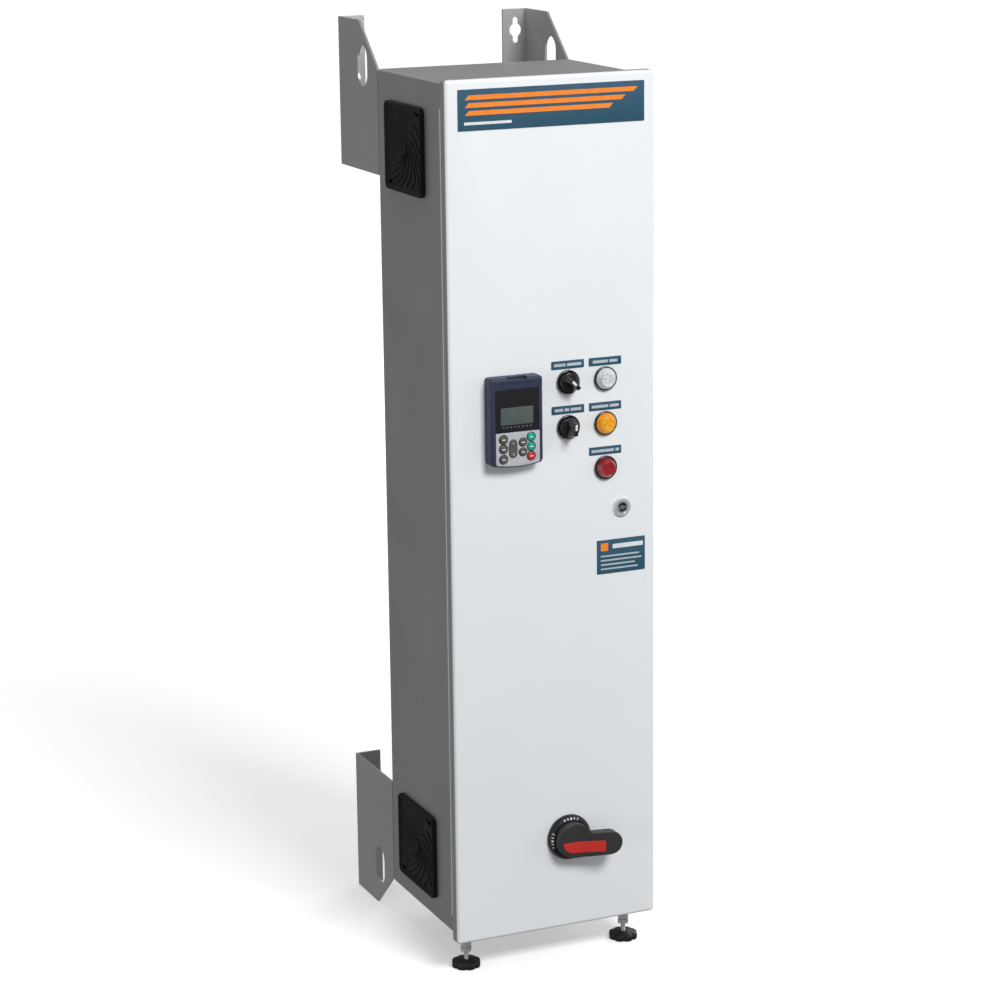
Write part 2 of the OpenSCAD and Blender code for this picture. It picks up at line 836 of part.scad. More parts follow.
module keypad_body() {
    color("#2c3148") at(keypad_x, 0, keypad_z) difference() {
        union() {
            translate([0, -keypad_d + 1.5, 0]) facing_front(keypad_d - 1.5) keypad_outline();
            translate([0, -keypad_d, 0]) facing_front(1.6) keypad_outline(1.5);
            block(keypad_w - 12 - 2 * slack, keypad_h - 18 - 2 * slack, -cut, 22);
        }
        translate([0, 0, window_z - keypad_z]) block(window_w, window_h, -keypad_d - cut, -keypad_d + 2.6);
        translate([0, -keypad_d - cut, 0]) facing_front(cut + 1) key_panel_outline();
        key_pockets(slack, -keypad_d - cut, -keypad_d + 7);
        translate([1, 0, keypad_h / 2]) block(25, 6, -keypad_d - cut, -keypad_d + 9);
        translate([0, 0, keypad_h / 2 - 6.5]) block(42, 1.6, -keypad_d - cut, -keypad_d + 0.9);
    }
}

// Outline of the key panel: straight top, arched foot like the keypad's
module key_panel_outline() {
    arch_r = 150;
    intersection() {
        translate([key_panel_x - keypad_x, key_panel_z - keypad_z - 22.5]) square([57, 45], center = true);
        translate([0, arch_r - keypad_h / 2 + 2]) circle(arch_r, $fn = 180);
    }
}

module keypad_window() {
    color("#101012") at(keypad_x, -keypad_d + 0.4, window_z)
        block(window_w - 2 * fit, window_h - 2 * fit, 0, 2.2);
}

module keypad_panel() {
    color("silver") at(keypad_x, -keypad_d - 0.1, keypad_z) difference() {
        facing_front(1.1) key_panel_outline();
        key_pockets(slack, -cut, 2 * cut);
    }
}

// A domed round key
module key(i, tint) {
    place = key_places[i];
    color(tint) at(keypad_x + place[0], -keypad_d, keypad_z + place[1]) turned() polygon([
        [0, -key_rise], [place[2] - 1.4, -key_rise], [place[2], -key_rise + 0.9],
        [place[2], 5], [0, 5]
    ]);
}

module key_left_top() {
    key(0, "#6b6560");
}

module key_left_middle() {
    key(1, "#6b6560");
}

module key_left_bottom() {
    key(2, "#6b6560");
}

module key_centre_top() {
    key(3, "#6b6560");
}

module key_centre_bottom() {
    key(4, "#6b6560");
}

module key_forward() {
    key(5, "#12a184");
}

module key_reverse() {
    key(6, "#12a184");
}

module key_stop() {
    key(7, "#c22a30");
}

module key_rocker() {
    color("#6b6560") at(keypad_x + rocker_x, -keypad_d, keypad_z + rocker_z) {
        translate([0, -key_rise, 0]) facing_front(key_rise + 3) obround(rocker_w, rocker_h);
        translate([0, rocker_pivot_y, 0]) rotate([0, 90, 0]) cylinder(h = rocker_w + 0.6, r = 1, center = true);
    }
}

// ---------- Lamps and selectors ----------

module control_bezels() {
    barrel_r = 11;
    color("#151515") for (p = control_places()) at(p[0], 0, p[1]) difference() {
        union() {
            translate([0, -bezel_t, 0]) rotate([-90, 0, 0])
                cylinder(h = bezel_t, r1 = bezel_d / 2 - 0.8, r2 = bezel_d / 2);
            rod(barrel_r, 0, 12);
        }
        rod(lens_r + fit, -bezel_t - cut, -1);
        rod(8, -bezel_t - cut, 12 + cut);
    }
}

// Fixing nuts and contact or lamp blocks behind the door
module contact_blocks() {
    color("#c8c8c0") for (p = control_places()) at(p[0], 0, p[1]) {
        difference() {
            rod(14, sheet, 6);
            rod(11 + fit, sheet - cut, 6 + cut);
        }
        difference() {
            block(block_w, block_h, 7, 44);
            rod(11 + fit, 6, 12);
            for (s = [-1, 1]) translate([0, 0, s * 15]) block(18, 6, 38, 44 + cut);
        }
    }
}

module lens(x, z, tint) {
    color(tint) at(x, 0, z) turned() polygon([
        [0, -lens_h], [lens_top_r - 1.5, -lens_h], [lens_top_r, -lens_h + 0.6],
        [lens_r - 0.6, -bezel_t - 1], [lens_r, -bezel_t], [lens_r, -1.1],
        [7.5, -1.1], [7.5, 4], [0, 4]
    ]);
}

module lens_white() {
    lens(lamp_x, row_z[0], "white");
}

module lens_amber() {
    lens(lamp_x, row_z[1], "orange");
}

module lens_red() {
    lens(lamp_x, row_z[2], "#b0202c");
}

// Selector knob: a round skirt with a tapering grip bar, pointing up before it is turned
module selector_knob(x, z, turn) {
    bar_t = 7.5;
    color("#181818") at(x, 0, z) rotate([0, turn, 0]) {
        rod(7.5, -bezel_t, 6);
        turned() polygon([
            [0, -9], [knob_r - 1.5, -9], [knob_r, -7.8], [knob_r, -1.1], [0, -1.1]
        ]);
        intersection() {
            block(bar_t, 2 * knob_r, -knob_reach, -8);
            translate([-bar_t, 0, 0]) facing_side(2 * bar_t) polygon([
                [-knob_reach, -8.5], [-knob_reach, 8.5], [-8, 11.9], [-8, -11.9]
            ]);
        }
    }
}

module selector_knob_upper() {
    selector_knob(selector_x, row_z[0], -45);
}

module selector_knob_lower() {
    selector_knob(selector_x, row_z[1], 0);
}

// ---------- Lock ----------

module lock_housing() {
    color("silver") at(lock_x, 0, lock_z) difference() {
        union() {
            translate([0, -3, 0]) rotate([-90, 0, 0]) cylinder(h = 3, r1 = lock_r - 1, r2 = lock_r);
            rod(9.5, 0, 18);
            translate([0, sheet, 0]) rotate([-90, 0, 0]) cylinder(h = 5, r = 14, $fn = 6);
        }
        rod(core_r + fit, -3 - cut, 18 + cut);
    }
}

// Turning core with its double-bit key post in front and its cam behind
module lock_core() {
    socket = 5.6;
    color("silver") at(lock_x, 0, lock_z) {
        difference() {
            rod(core_r, -2.2, 18.4);
            rod(socket, -2.2 - cut, 6);
        }
        rod(2.5, -2.2, 7);
        translate([-socket - 0.4, -1.5, -0.9]) cube([2 * socket + 0.8, 8, 1.8]);
        translate([0, 20.6, cam_len / 2 - 4]) facing_front(2.4) obround(cam_w, cam_len + 6);
        rod(4, 18, 25);
    }
}

// ---------- Disconnect handle ----------

module handle_escutcheon() {
    color("#141414") at(handle_x, 0, handle_z) difference() {
        union() {
            turned() polygon([
                [0, -escutcheon_t], [escutcheon_r - 5, -escutcheon_t], [escutcheon_r - 1, -escutcheon_t + 3],
                [escutcheon_r, -escutcheon_t + 6], [escutcheon_r, 0], [0, 0]
            ]);
            rod(12.8, 0, 5);
        }
        rod(9 + fit, -escutcheon_t - cut, 5 + cut);
    }
}

// Lever's outline from the hub to its round end, which sits a little below the axis
module lever_outline() {
    polygon([
        [0, -hub_r], [lever_x, -lever_drop - lever_r],
        [lever_x, lever_r - lever_drop], [0, lever_r - lever_drop]
    ]);
    translate([lever_x, -lever_drop]) circle(lever_r);
    circle(hub_r);
}

// Turning hub with a lever that points right when the switch is off
module disconnect_handle() {
    hub_front = -20;
    hub_back = -escutcheon_t - 0.5;
    tip_x = lever_x + lever_r + cut;
    color("#1a1a1a") at(handle_x, 0, handle_z) difference() {
        union() {
            turned() polygon([
                [0, hub_front], [hub_r - 1.5, hub_front], [hub_r, hub_front + 1.5],
                [hub_r, hub_back], [0, hub_back]
            ]);
            rod(9, hub_back - cut, 12);
            intersection() {
                translate([0, -lever_reach, 0]) facing_front(lever_reach + hub_back) lever_outline();
                translate([0, 0, -2 * hub_r]) linear_extrude(4 * hub_r) polygon([
                    [0, hub_front], [8, hub_front - 1], [lever_x - 4, -lever_reach + 1],
                    [tip_x, -lever_reach], [tip_x, -19], [lever_x, -18], [16, hub_back - 2.5], [0, hub_back - 2.5]
                ]);
            }
        }
        block(socket_w, socket_w, -18, 12 + cut);
    }
}

enclosure_body();
gland_plate();
mounting_panel();
bracket_top_left();
bracket_top_right();
bracket_bottom_left();
bracket_bottom_right();
cabinet_fasteners();
hinge_frame_leaf();
hinge_pin();
fan_cover_upper();
fan_cover_lower();
fan_frame();
filter_mat();
foot_sleeves();
drive_housing();
drive_heatsink();
drive_cover();
contactors();
overload_relay();
control_transformer();
terminal_block();
din_rails();
wire_ducts();
disconnect_switch();
fan_rotor();
foot_left();
foot_right();
contactor_slider_drive();
contactor_slider_bypass();
overload_reset();
disconnect_shaft();
door();
door_gasket();
hinge_door_leaf();
nameplate();
legend_plates();
keypad_body();
keypad_window();
keypad_panel();
key_left_top();
key_left_middle();
key_left_bottom();
key_centre_top();
key_centre_bottom();
key_forward();
key_reverse();
key_stop();
key_rocker();
control_bezels();
contact_blocks();
lens_white();
lens_amber();
lens_red();
selector_knob_upper();
selector_knob_lower();
lock_housing();
lock_core();
handle_escutcheon();
disconnect_handle();
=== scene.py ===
"""Looks of the packaged variable frequency drive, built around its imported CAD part."""

import json
import math

import bmesh
import bpy
from mathutils import Matrix, Vector

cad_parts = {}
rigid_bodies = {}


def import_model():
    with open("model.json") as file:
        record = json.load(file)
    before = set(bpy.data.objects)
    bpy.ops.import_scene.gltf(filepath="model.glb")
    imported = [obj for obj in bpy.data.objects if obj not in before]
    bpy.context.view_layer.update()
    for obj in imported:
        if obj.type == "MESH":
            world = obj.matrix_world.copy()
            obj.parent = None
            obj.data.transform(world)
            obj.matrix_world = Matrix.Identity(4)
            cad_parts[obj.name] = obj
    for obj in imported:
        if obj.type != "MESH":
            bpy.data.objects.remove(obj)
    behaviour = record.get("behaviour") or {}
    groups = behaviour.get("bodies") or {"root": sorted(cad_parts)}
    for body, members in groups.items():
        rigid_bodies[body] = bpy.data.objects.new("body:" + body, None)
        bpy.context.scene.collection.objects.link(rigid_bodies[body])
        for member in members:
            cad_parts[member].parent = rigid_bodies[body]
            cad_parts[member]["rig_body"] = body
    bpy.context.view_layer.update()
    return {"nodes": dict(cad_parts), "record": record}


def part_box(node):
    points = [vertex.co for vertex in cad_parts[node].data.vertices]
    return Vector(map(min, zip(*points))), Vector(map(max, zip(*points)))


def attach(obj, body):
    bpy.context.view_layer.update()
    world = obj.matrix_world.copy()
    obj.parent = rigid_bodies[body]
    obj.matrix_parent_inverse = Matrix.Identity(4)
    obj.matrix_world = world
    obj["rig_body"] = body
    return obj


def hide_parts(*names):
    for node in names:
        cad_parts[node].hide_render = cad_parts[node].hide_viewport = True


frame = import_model()

MM = 0.001
NODES = frame["nodes"]
BODY_OF = {n: o["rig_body"] for n, o in NODES.items()}
SLOT_OF = {p["node"]: p["material_slot"] for p in frame["record"]["subparts"]}
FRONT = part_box("door")[0].y
RIGHT_ANGLE = math.pi / 2
EDGE_WEAR = 0.12

# Sheet metal and its openings, in millimetres
SHEET = 1.5
DOOR_GAP = 3.0
RIM = 14.0
FAN_OPENING_R = 42
INLET_OPENING = (92, 87)  # along y, along z
GLAND_OPENING = (-100, 100, 100, 200)  # x from, x to, y from, y to
CONTROL_HOLE_R = 11.15
LOCK_HOLE_R = 9.6
HANDLE_HOLE_R = 13

# Ventilation covers
COVER_CORNER = 8
COVER_RIM = 7.2
VANES = 18
VANE_TURN = math.radians(84)
VANE_ROOT_R = 7.0
VANE_SHARE = 0.92  # of the pitch; the rest is the slit

# Plates on the door
PLATE_FACE = -0.7
LEGEND = (43, 10)
LEGEND_LIFT = 21
WORD_GAP = 2
INFO_PLATE = (65, 42.5)
INFO_X = 89

# Controls on the door
KNOB_X = 18.5
ROCKER_SLIMMING = 0.6
KNOB_FACE = -25

# Camera, fitted to the photo's corner points: place, turns in degrees and focal length in mm
CAMERA_PLACE = (-1.4344, FRONT - 3.12082, 1.43145)
CAMERA_TURNS = (-23.5901, -13.6715, 0.6646)
CAMERA_LENS = 105.5


# ---------- Materials ----------

class Shader:
    """A principled material whose nodes are added one call at a time."""

    def __init__(self, name, rough=0.5, metal=0.0, **sockets):
        self.mat = bpy.data.materials.new(name)
        self.mat.use_nodes = True
        self.tree = self.mat.node_tree
        self.bsdf = self.tree.nodes["Principled BSDF"]
        self.bsdf.inputs["Roughness"].default_value = rough
        self.bsdf.inputs["Metallic"].default_value = metal
        for socket, value in sockets.items():
            self.bsdf.inputs[socket.replace("_", " ")].default_value = value
        self.place = self.node("ShaderNodeTexCoord").outputs["Object"]

    def node(self, kind, **settings):
        made = self.tree.nodes.new(kind)
        for key, value in settings.items():
            setattr(made, key, value)
        return made

    def link(self, a, b):
        self.tree.links.new(a, b)

    def noise(self, scale, detail=3.0, roughness=0.5, stretch=(1, 1, 1), distortion=0.0):
        made = self.node("ShaderNodeTexNoise")
        made.inputs["Scale"].default_value = scale
        made.inputs["Detail"].default_value = detail
        made.inputs["Roughness"].default_value = roughness
        made.inputs["Distortion"].default_value = distortion
        self.link(self.stretched(stretch), made.inputs["Vector"])
        return made.outputs[0]

    def cells(self, scale):
        made = self.node("ShaderNodeTexVoronoi")
        made.inputs["Scale"].default_value = scale
        self.link(self.place, made.inputs["Vector"])
        return made

    def stretched(self, stretch):
        """The object's coordinates, scaled along each axis."""
        if stretch == (1, 1, 1):
            return self.place
        made = self.node("ShaderNodeMapping")
        made.inputs["Scale"].default_value = stretch
        self.link(self.place, made.inputs["Vector"])
        return made.outputs[0]

    def spread(self, value, low, high, start=0.3, end=0.7):
        """Maps start to end of a value onto low to high."""
        made = self.node("ShaderNodeMapRange")
        for i, number in enumerate((start, end, low, high)):
            made.inputs[i + 1].default_value = number
        self.link(value, made.inputs[0])
        return made.outputs[0]

    def math(self, operation, a, b):
        made = self.node("ShaderNodeMath", operation=operation)
        for socket, value in zip(made.inputs, (a, b)):
            if isinstance(value, (int, float)):
                socket.default_value = value
            else:
                self.link(value, socket)
        return made.outputs[0]

    def mix(self, factor, a, b):
        made = self.node("ShaderNodeMix", data_type="RGBA")
        self.link(factor, made.inputs[0])
        for socket, value in ((made.inputs[6], a), (made.inputs[7], b)):
            if isinstance(value, tuple):
                socket.default_value = (*value, 1)
            else:
                self.link(value, socket)
        return made.outputs[2]

    def axis(self, letter):
        made = self.node("ShaderNodeSeparateXYZ")
        self.link(self.place, made.inputs[0])
        return made.outputs[letter]

    def edges(self, radius):
        """1 on edges and corners, 0 on flats."""
        bevel = self.node("ShaderNodeBevel", samples=4)
        bevel.inputs["Radius"].default_value = radius
        dot = self.node("ShaderNodeVectorMath", operation="DOT_PRODUCT")
        self.link(bevel.outputs[0], dot.inputs[0])
        self.link(self.node("ShaderNodeNewGeometry").outputs["Normal"], dot.inputs[1])
        return self.spread(dot.outputs["Value"], 1, 0, 0.8, 0.99)

    def bump(self, height, depth, strength=1.0, over=None):
        """A normal for a height; over is the normal below it."""
        made = self.node("ShaderNodeBump")
        made.inputs["Strength"].default_value = strength
        made.inputs["Distance"].default_value = depth
        self.link(height, made.inputs["Height"])
        if over is not None:
            self.link(over, made.inputs["Normal"])
        return made.outputs[0]

    def colour(self, socket):
        self.link(socket, self.bsdf.inputs["Base Color"])

    def rough(self, socket):
        self.link(socket, self.bsdf.inputs["Roughness"])

    def normal(self, socket):
        self.link(socket, self.bsdf.inputs["Normal"])


def shade(tone, share):
    """A tone made lighter or darker."""
    return tuple(min(1.0, max(0.0, c * share)) for c in tone)


def coated_metal(name, tone, rough, metal):
    """Powder-coated steel with a metallic speckle, orange peel and faintly rubbed edges."""
    s = Shader(name, rough, metal)
    clouds = s.noise(7, 5)
    speckle = s.noise(2600, 1)
    base = s.mix(s.spread(clouds, 0, 1), shade(tone, 0.955), shade(tone, 1.045))
    flakes = s.mix(s.spread(speckle, 0, 0.35, 0.55, 0.75), base, shade(tone, 1.5))
    rubbed = s.math("MULTIPLY", s.edges(0.0012), s.spread(s.noise(160, 4), 0, EDGE_WEAR, 0.45, 0.6))
    s.colour(s.mix(rubbed, flakes, shade(tone, 1.7)))
    s.rough(s.spread(s.noise(22, 4), rough - 0.012, rough + 0.018))
    peel = s.bump(s.noise(520, 2), 0.00006, 0.35)
    s.normal(s.bump(speckle, 0.00001, 0.4, peel))
    return s.mat


def moulded(name, tone, rough=0.5, grain=0.5, scale=2200, coat=0.0, scuffs=0.0, shine=0.35):
    """Injection-moulded plastic: spark-eroded grain, faint flow clouds, handling marks."""
    s = Shader(name, rough, 0.0, Coat_Weight=coat, Coat_Roughness=0.12, Specular_IOR_Level=shine)
    clouds = s.noise(38, 4)
    base = s.mix(s.spread(clouds, 0, 1), shade(tone, 0.95), shade(tone, 1.05))
    if scuffs:
        marks = s.spread(s.noise(240, 6, 0.7, (1, 1, 0.25)), 0, scuffs, 0.62, 0.72)
        base = s.mix(marks, base, shade(tone, 2.6))
    s.colour(base)
    s.rough(s.spread(s.noise(75, 5), rough - 0.06, rough + 0.09))
    s.normal(s.bump(s.noise(scale, 2), 0.00004, grain))
    return s.mat


def bright_metal(name, tone, rough, streak=(1, 1, 12), scale=320, metal=1.0):
    """Plated or drawn metal with fine lines and slight tarnish."""
    s = Shader(name, rough, metal)
    clouds = s.noise(60, 4)
    s.colour(s.mix(s.spread(clouds, 0, 1), shade(tone, 0.94), shade(tone, 1.03)))
    lines = s.noise(scale, 3, 0.6, streak)
    s.rough(s.spread(lines, rough - 0.07, rough + 0.12))
    s.normal(s.bump(lines, 0.00003, 0.25))
    return s.mat


def galvanised(name):
    """Zinc-coated sheet with its spangle."""
    s = Shader(name, 0.42, 0.85)
    cells = s.cells(95)
    tone = s.node("ShaderNodeSeparateColor")
    s.link(cells.outputs["Color"], tone.inputs[0])
    s.colour(s.mix(tone.outputs[0], (0.47, 0.49, 0.5), (0.6, 0.62, 0.63)))
    s.rough(s.spread(tone.outputs[1], 0.32, 0.5, 0, 1))
    s.normal(s.bump(s.noise(900, 2), 0.00003, 0.3))
    return s.mat


def fleece(name):
    """Matted filter fibres."""
    s = Shader(name, 0.95, 0.0, Sheen_Weight=0.3)
    strands = s.noise(420, 8, 0.75, (1, 1, 1), 2.5)
    s.colour(s.mix(s.spread(strands, 0, 1), (0.36, 0.36, 0.34), (0.74, 0.74, 0.71)))
    s.normal(s.bump(strands, 0.0008, 0.9))
    return s.mat


def laminated(name):
    """Stacked iron laminations under varnish."""
    s = Shader(name, 0.45, 0.5, Coat_Weight=0.25)
    waves = s.node("ShaderNodeTexWave", bands_direction="Y")
    waves.inputs["Scale"].default_value = 320
    s.link(s.place, waves.inputs["Vector"])
    stain = s.noise(70, 5)
    s.colour(s.mix(s.spread(stain, 0, 1), (0.055, 0.05, 0.046), (0.13, 0.115, 0.1)))
    s.normal(s.bump(waves.outputs["Fac"], 0.00025, 0.8))
    s.rough(s.spread(stain, 0.35, 0.6))
    return s.mat


def door_paint(name):
    """White satin powder coat on the front, which fades to the cabinet's grey round the bend."""
    s = Shader(name, 0.36, 0.0, Coat_Weight=0.25, Coat_Roughness=0.22)
    clouds = s.noise(2.6, 4)
    white = s.mix(s.spread(clouds, 0, 1), (0.845, 0.875, 0.9), (0.9, 0.925, 0.945))
    dust = s.spread(s.noise(420, 5, 0.7), 0, 0.25, 0.7, 0.82)
    front = s.mix(dust, white, (0.62, 0.64, 0.66))
    grey = s.mix(s.spread(s.noise(2600, 1), 0, 1), (0.27, 0.285, 0.295), (0.36, 0.375, 0.385))
    behind = s.spread(s.axis("Y"), 0, 1, FRONT + 0.0031, FRONT + 0.0036)
    s.colour(s.mix(behind, front, grey))
    s.rough(s.spread(s.noise(14, 5), 0.31, 0.43))
    s.normal(s.bump(s.noise(430, 2), 0.00007, 0.32))
    return s.mat


def lens_plastic(name, tone, deep, painted_glow):
    """Moulded translucent lens, its own colour near the face and darker at the root, with a painted glow: an
    even emission over all of it that stands in for light scattered inside.
    """
    s = Shader(name, 0.16, 0.0, Transmission_Weight=0.1, IOR=1.5, Coat_Weight=0.5, Coat_Roughness=0.06)
    # Painted glow: this emission stands in for light scattered inside the lens.
    s.bsdf.inputs["Emission Color"].default_value = (*tone, 1)
    s.bsdf.inputs["Emission Strength"].default_value = painted_glow
    s.bsdf.inputs["Subsurface Weight"].default_value = 0.25
    s.bsdf.inputs["Subsurface Scale"].default_value = 0.004
    depth = s.spread(s.axis("Y"), 1, 0, FRONT - 0.011, FRONT - 0.004)
    facets = s.cells(520).outputs["Distance"]
    body = s.mix(s.spread(facets, 0, 1, 0.15, 0.7), tone, shade(tone, 0.5))
    s.colour(s.mix(depth, deep, body))
    s.rough(s.spread(s.noise(160, 3), 0.1, 0.24))
    s.normal(s.bump(facets, 0.0004, 0.8))
    return s.mat


def display_glass(name):
    """Liquid crystal panel: grey-green field with a fine cell grid."""
    s = Shader(name, 0.18, 0.0, Coat_Weight=1.0, Coat_Roughness=0.03)
    cells_per_metre, cell_share = 1400.0, 0.86
    across = s.math("FRACT", s.math("MULTIPLY", s.axis("X"), cells_per_metre), 0)
    up = s.math("FRACT", s.math("MULTIPLY", s.axis("Z"), cells_per_metre), 0)
    grid = s.math(
        "MAXIMUM", s.math("GREATER_THAN", across, cell_share), s.math("GREATER_THAN", up, cell_share)
    )
    field = s.mix(s.spread(s.noise(45, 3), 0, 1), (0.075, 0.102, 0.098), (0.1, 0.132, 0.126))
    s.colour(s.mix(grid, field, (0.06, 0.08, 0.078)))
    s.rough(s.spread(s.noise(90, 3), 0.12, 0.24))
    return s.mat


def printed(name, tone, rough=0.42, coat=0.15):
    """Screen-printed ink or film with a slight tooth."""
    s = Shader(name, rough, 0.0, Coat_Weight=coat, Specular_IOR_Level=0.3)
    s.colour(s.mix(s.spread(s.noise(120, 4), 0, 1), shade(tone, 0.94), shade(tone, 1.05)))
    s.rough(s.spread(s.noise(60, 4), rough - 0.06, rough + 0.08))
    s.normal(s.bump(s.noise(1800, 2), 0.00002, 0.4))
    return s.mat


MAT = {
    "cabinet_grey": coated_metal("cabinet_grey", (0.43, 0.44, 0.44), 0.46, 0.7),
    "bracket_grey": coated_metal("bracket_grey", (0.56, 0.57, 0.565), 0.4, 0.75),
    "dull_zinc": coated_metal("dull_zinc", (0.36, 0.37, 0.37), 0.42, 0.6),
    "door_white": door_paint("door_white"),
    "zinc_steel": bright_metal("zinc_steel", (0.74, 0.78, 0.79), 0.24, metal=0.6),
    "core_steel": bright_metal("core_steel", (0.34, 0.35, 0.36), 0.3, metal=0.7),
    # Bright steel hinge whose near-white tone is a painted highlight, standing in for the steel's reflection
    # so the knuckles read as a light line on the shaded side.
    "hinge_zinc": coated_metal("hinge_zinc", (0.82, 0.83, 0.78), 0.4, 0.15),
    "galvanised_sheet": galvanised("galvanised_sheet"),
    "black_plastic": moulded("black_plastic", (0.012, 0.012, 0.013), 0.42, 0.7),
    "gloss_black": moulded("gloss_black", (0.009, 0.009, 0.01), 0.22, 0.2, coat=0.3, scuffs=0.2),
    "handle_grey": moulded("handle_grey", (0.034, 0.034, 0.035), 0.45, 0.5, scuffs=0.1),
    "cover_black": moulded("cover_black", (0.008, 0.008, 0.008), 0.5, 0.7, shine=0.2),
    "gasket_rubber": moulded("gasket_rubber", (0.018, 0.018, 0.018), 0.8, 0.8, 900),
    "filter_fleece": fleece("filter_fleece"),
    "aluminium_fins": bright_metal("aluminium_fins", (0.68, 0.69, 0.7), 0.34, (14, 1, 0.6), 200),
    "housing_plastic": moulded("housing_plastic", (0.05, 0.07, 0.1), 0.5, 0.6),
    "cover_plastic": moulded("cover_plastic", (0.03, 0.042, 0.062), 0.46, 0.6),
    "switchgear_plastic": moulded("switchgear_plastic", (0.5, 0.49, 0.45), 0.5, 0.5),
    "transformer_iron": laminated("transformer_iron"),
    "terminal_plastic": moulded("terminal_plastic", (0.38, 0.41, 0.36), 0.5, 0.5),
    "duct_plastic": moulded("duct_plastic", (0.3, 0.33, 0.35), 0.55, 0.4, 1200),
    "reset_blue": moulded("reset_blue", (0.02, 0.09, 0.5), 0.35, 0.3),
    "plate_blue": printed("plate_blue", (0.026, 0.09, 0.145), 0.6, 0.0),
    "keypad_navy": moulded("keypad_navy", (0.03, 0.037, 0.075), 0.45, 0.7),
    "window_black": moulded("window_black", (0.008, 0.008, 0.01), 0.14, 0.05, coat=0.8, scuffs=0.1),
    "panel_silver": printed("panel_silver", (0.5, 0.52, 0.55), 0.38),
    "key_taupe": moulded("key_taupe", (0.1, 0.092, 0.086), 0.4, 0.4),
    "key_green": moulded("key_green", (0.008, 0.36, 0.25), 0.35, 0.3),
    "key_red": moulded("key_red", (0.5, 0.03, 0.045), 0.35, 0.3),
    "block_plastic": moulded("block_plastic", (0.5, 0.5, 0.46), 0.5, 0.5),
    # The last number of each lens is its painted glow, an emission standing in for light scattered inside.
    "lens_white": lens_plastic("lens_white", (0.93, 0.95, 0.96), (0.62, 0.64, 0.66), 0.12),
    "lens_amber": lens_plastic("lens_amber", (1.0, 0.47, 0.02), (0.75, 0.22, 0.006), 0.22),
    "lens_red": lens_plastic("lens_red", (0.52, 0.012, 0.024), (0.18, 0.003, 0.008), 0.05),
    "lcd": display_glass("lcd"),
    "print_orange": printed("print_orange", (0.95, 0.26, 0.03)),
    "print_white": printed("print_white", (0.78, 0.8, 0.82)),
    "print_pale": printed("print_pale", (0.5, 0.55, 0.6)),
    "print_dim": printed("print_dim", (0.16, 0.17, 0.19)),
    "insert_red": moulded("insert_red", (0.6, 0.03, 0.025), 0.4, 0.4),
}


# ---------- Mesh helpers ----------

def spot(x, y, z):
    """A place in millimetres, with y measured back from the door's front face, in metres."""
    return Vector((x * MM, FRONT + y * MM, z * MM))


def centre(node):
    """Middle of a node's box in x and z, in millimetres."""
    lo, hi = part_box(node)
    return (lo.x + hi.x) / 2 / MM, (lo.z + hi.z) / 2 / MM


def finished(name, bm, body, material, slot=None, stands_for=(), angle=35.0):
    """Makes a riding piece of a bmesh, with smooth shading except over sharp edges."""
    bmesh.ops.recalc_face_normals(bm, faces=bm.faces)
    mesh = bpy.data.meshes.new(name)
    bm.to_mesh(mesh)
    bm.free()
    mesh.shade_smooth()
    mesh.set_sharp_from_angle(angle=math.radians(angle))
    mesh.materials.append(MAT[material])
    obj = bpy.data.objects.new(name, mesh)
    bpy.context.scene.collection.objects.link(obj)
    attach(obj, body)
    if slot or material in SLOT_OF.values():
        slot or material
    if stands_for:
        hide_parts(*stands_for)
    return obj


def rounded(obj, width, segments=2, angle=40.0):
    """Rounds the sharp edges of a piece."""
    bevel = obj.modifiers.new("rounding", "BEVEL")
    bevel.width = width * MM
    bevel.segments = segments
    bevel.limit_method = "ANGLE"
    bevel.angle_limit = math.radians(angle)
    bevel.harden_normals = True
    bevel.use_clamp_overlap = True
    return obj


def loft(bm, rings, closed=False):
    """Joins rings of as many points each with quads, and caps the ends or joins them to each other."""
    made = [[bm.verts.new(p) for p in ring] for ring in rings]
    pairs = list(zip(made, made[1:]))
    if closed:
        pairs.append((made[-1], made[0]))
    for a, b in pairs:
        for i in range(len(a)):
            j = (i + 1) % len(a)
            bm.faces.new((a[i], a[j], b[j], b[i]))
    if not closed:
        bm.faces.new(made[0])
        bm.faces.new(list(reversed(made[-1])))
    return made


def box_outline(w, h, r, steps=6):
    """Points round a rectangle with rounded corners, centred on the origin."""
    points = []
    for k, (sx, sy) in enumerate(((1, 1), (-1, 1), (-1, -1), (1, -1))):
        for i in range(steps + 1):
            a = k * RIGHT_ANGLE + i / steps * RIGHT_ANGLE
            points.append((sx * (w / 2 - r) + r * math.cos(a), sy * (h / 2 - r) + r * math.sin(a)))
    return points


def inset_box(w, h, r, inset, steps=6):
    """box_outline, pulled in by a distance."""
    return box_outline(w - 2 * inset, h - 2 * inset, max(r - inset, 0.02), steps)


def formed_sheet(bm, x, z, w, h, r, profile, steps=6):
    """A folded-sheet form: the profile gives (inset, depth) from the outline's edge."""
    rings = [[spot(x + u, y, z + v) for u, v in inset_box(w, h, r, inset, steps)] for inset, y in profile]
    return loft(bm, rings)


def bend(inset0, y0, r, quarter, steps=6):
    """(inset, depth) points of a bend; quarter is front_out, front_in or back_in."""
    points = []
    for i in range(steps + 1):
        a = i / steps * RIGHT_ANGLE
        s, c = math.sin(a), math.cos(a)
        if quarter == "front_out":
            points.append((inset0 + r * (1 - s), y0 + r * (1 - c)))
        elif quarter == "front_in":
            points.append((inset0 + r * (1 - c), y0 + r * (1 - s)))
        else:
            points.append((inset0 + r * (1 - s), y0 - r * (1 - c)))
    return points


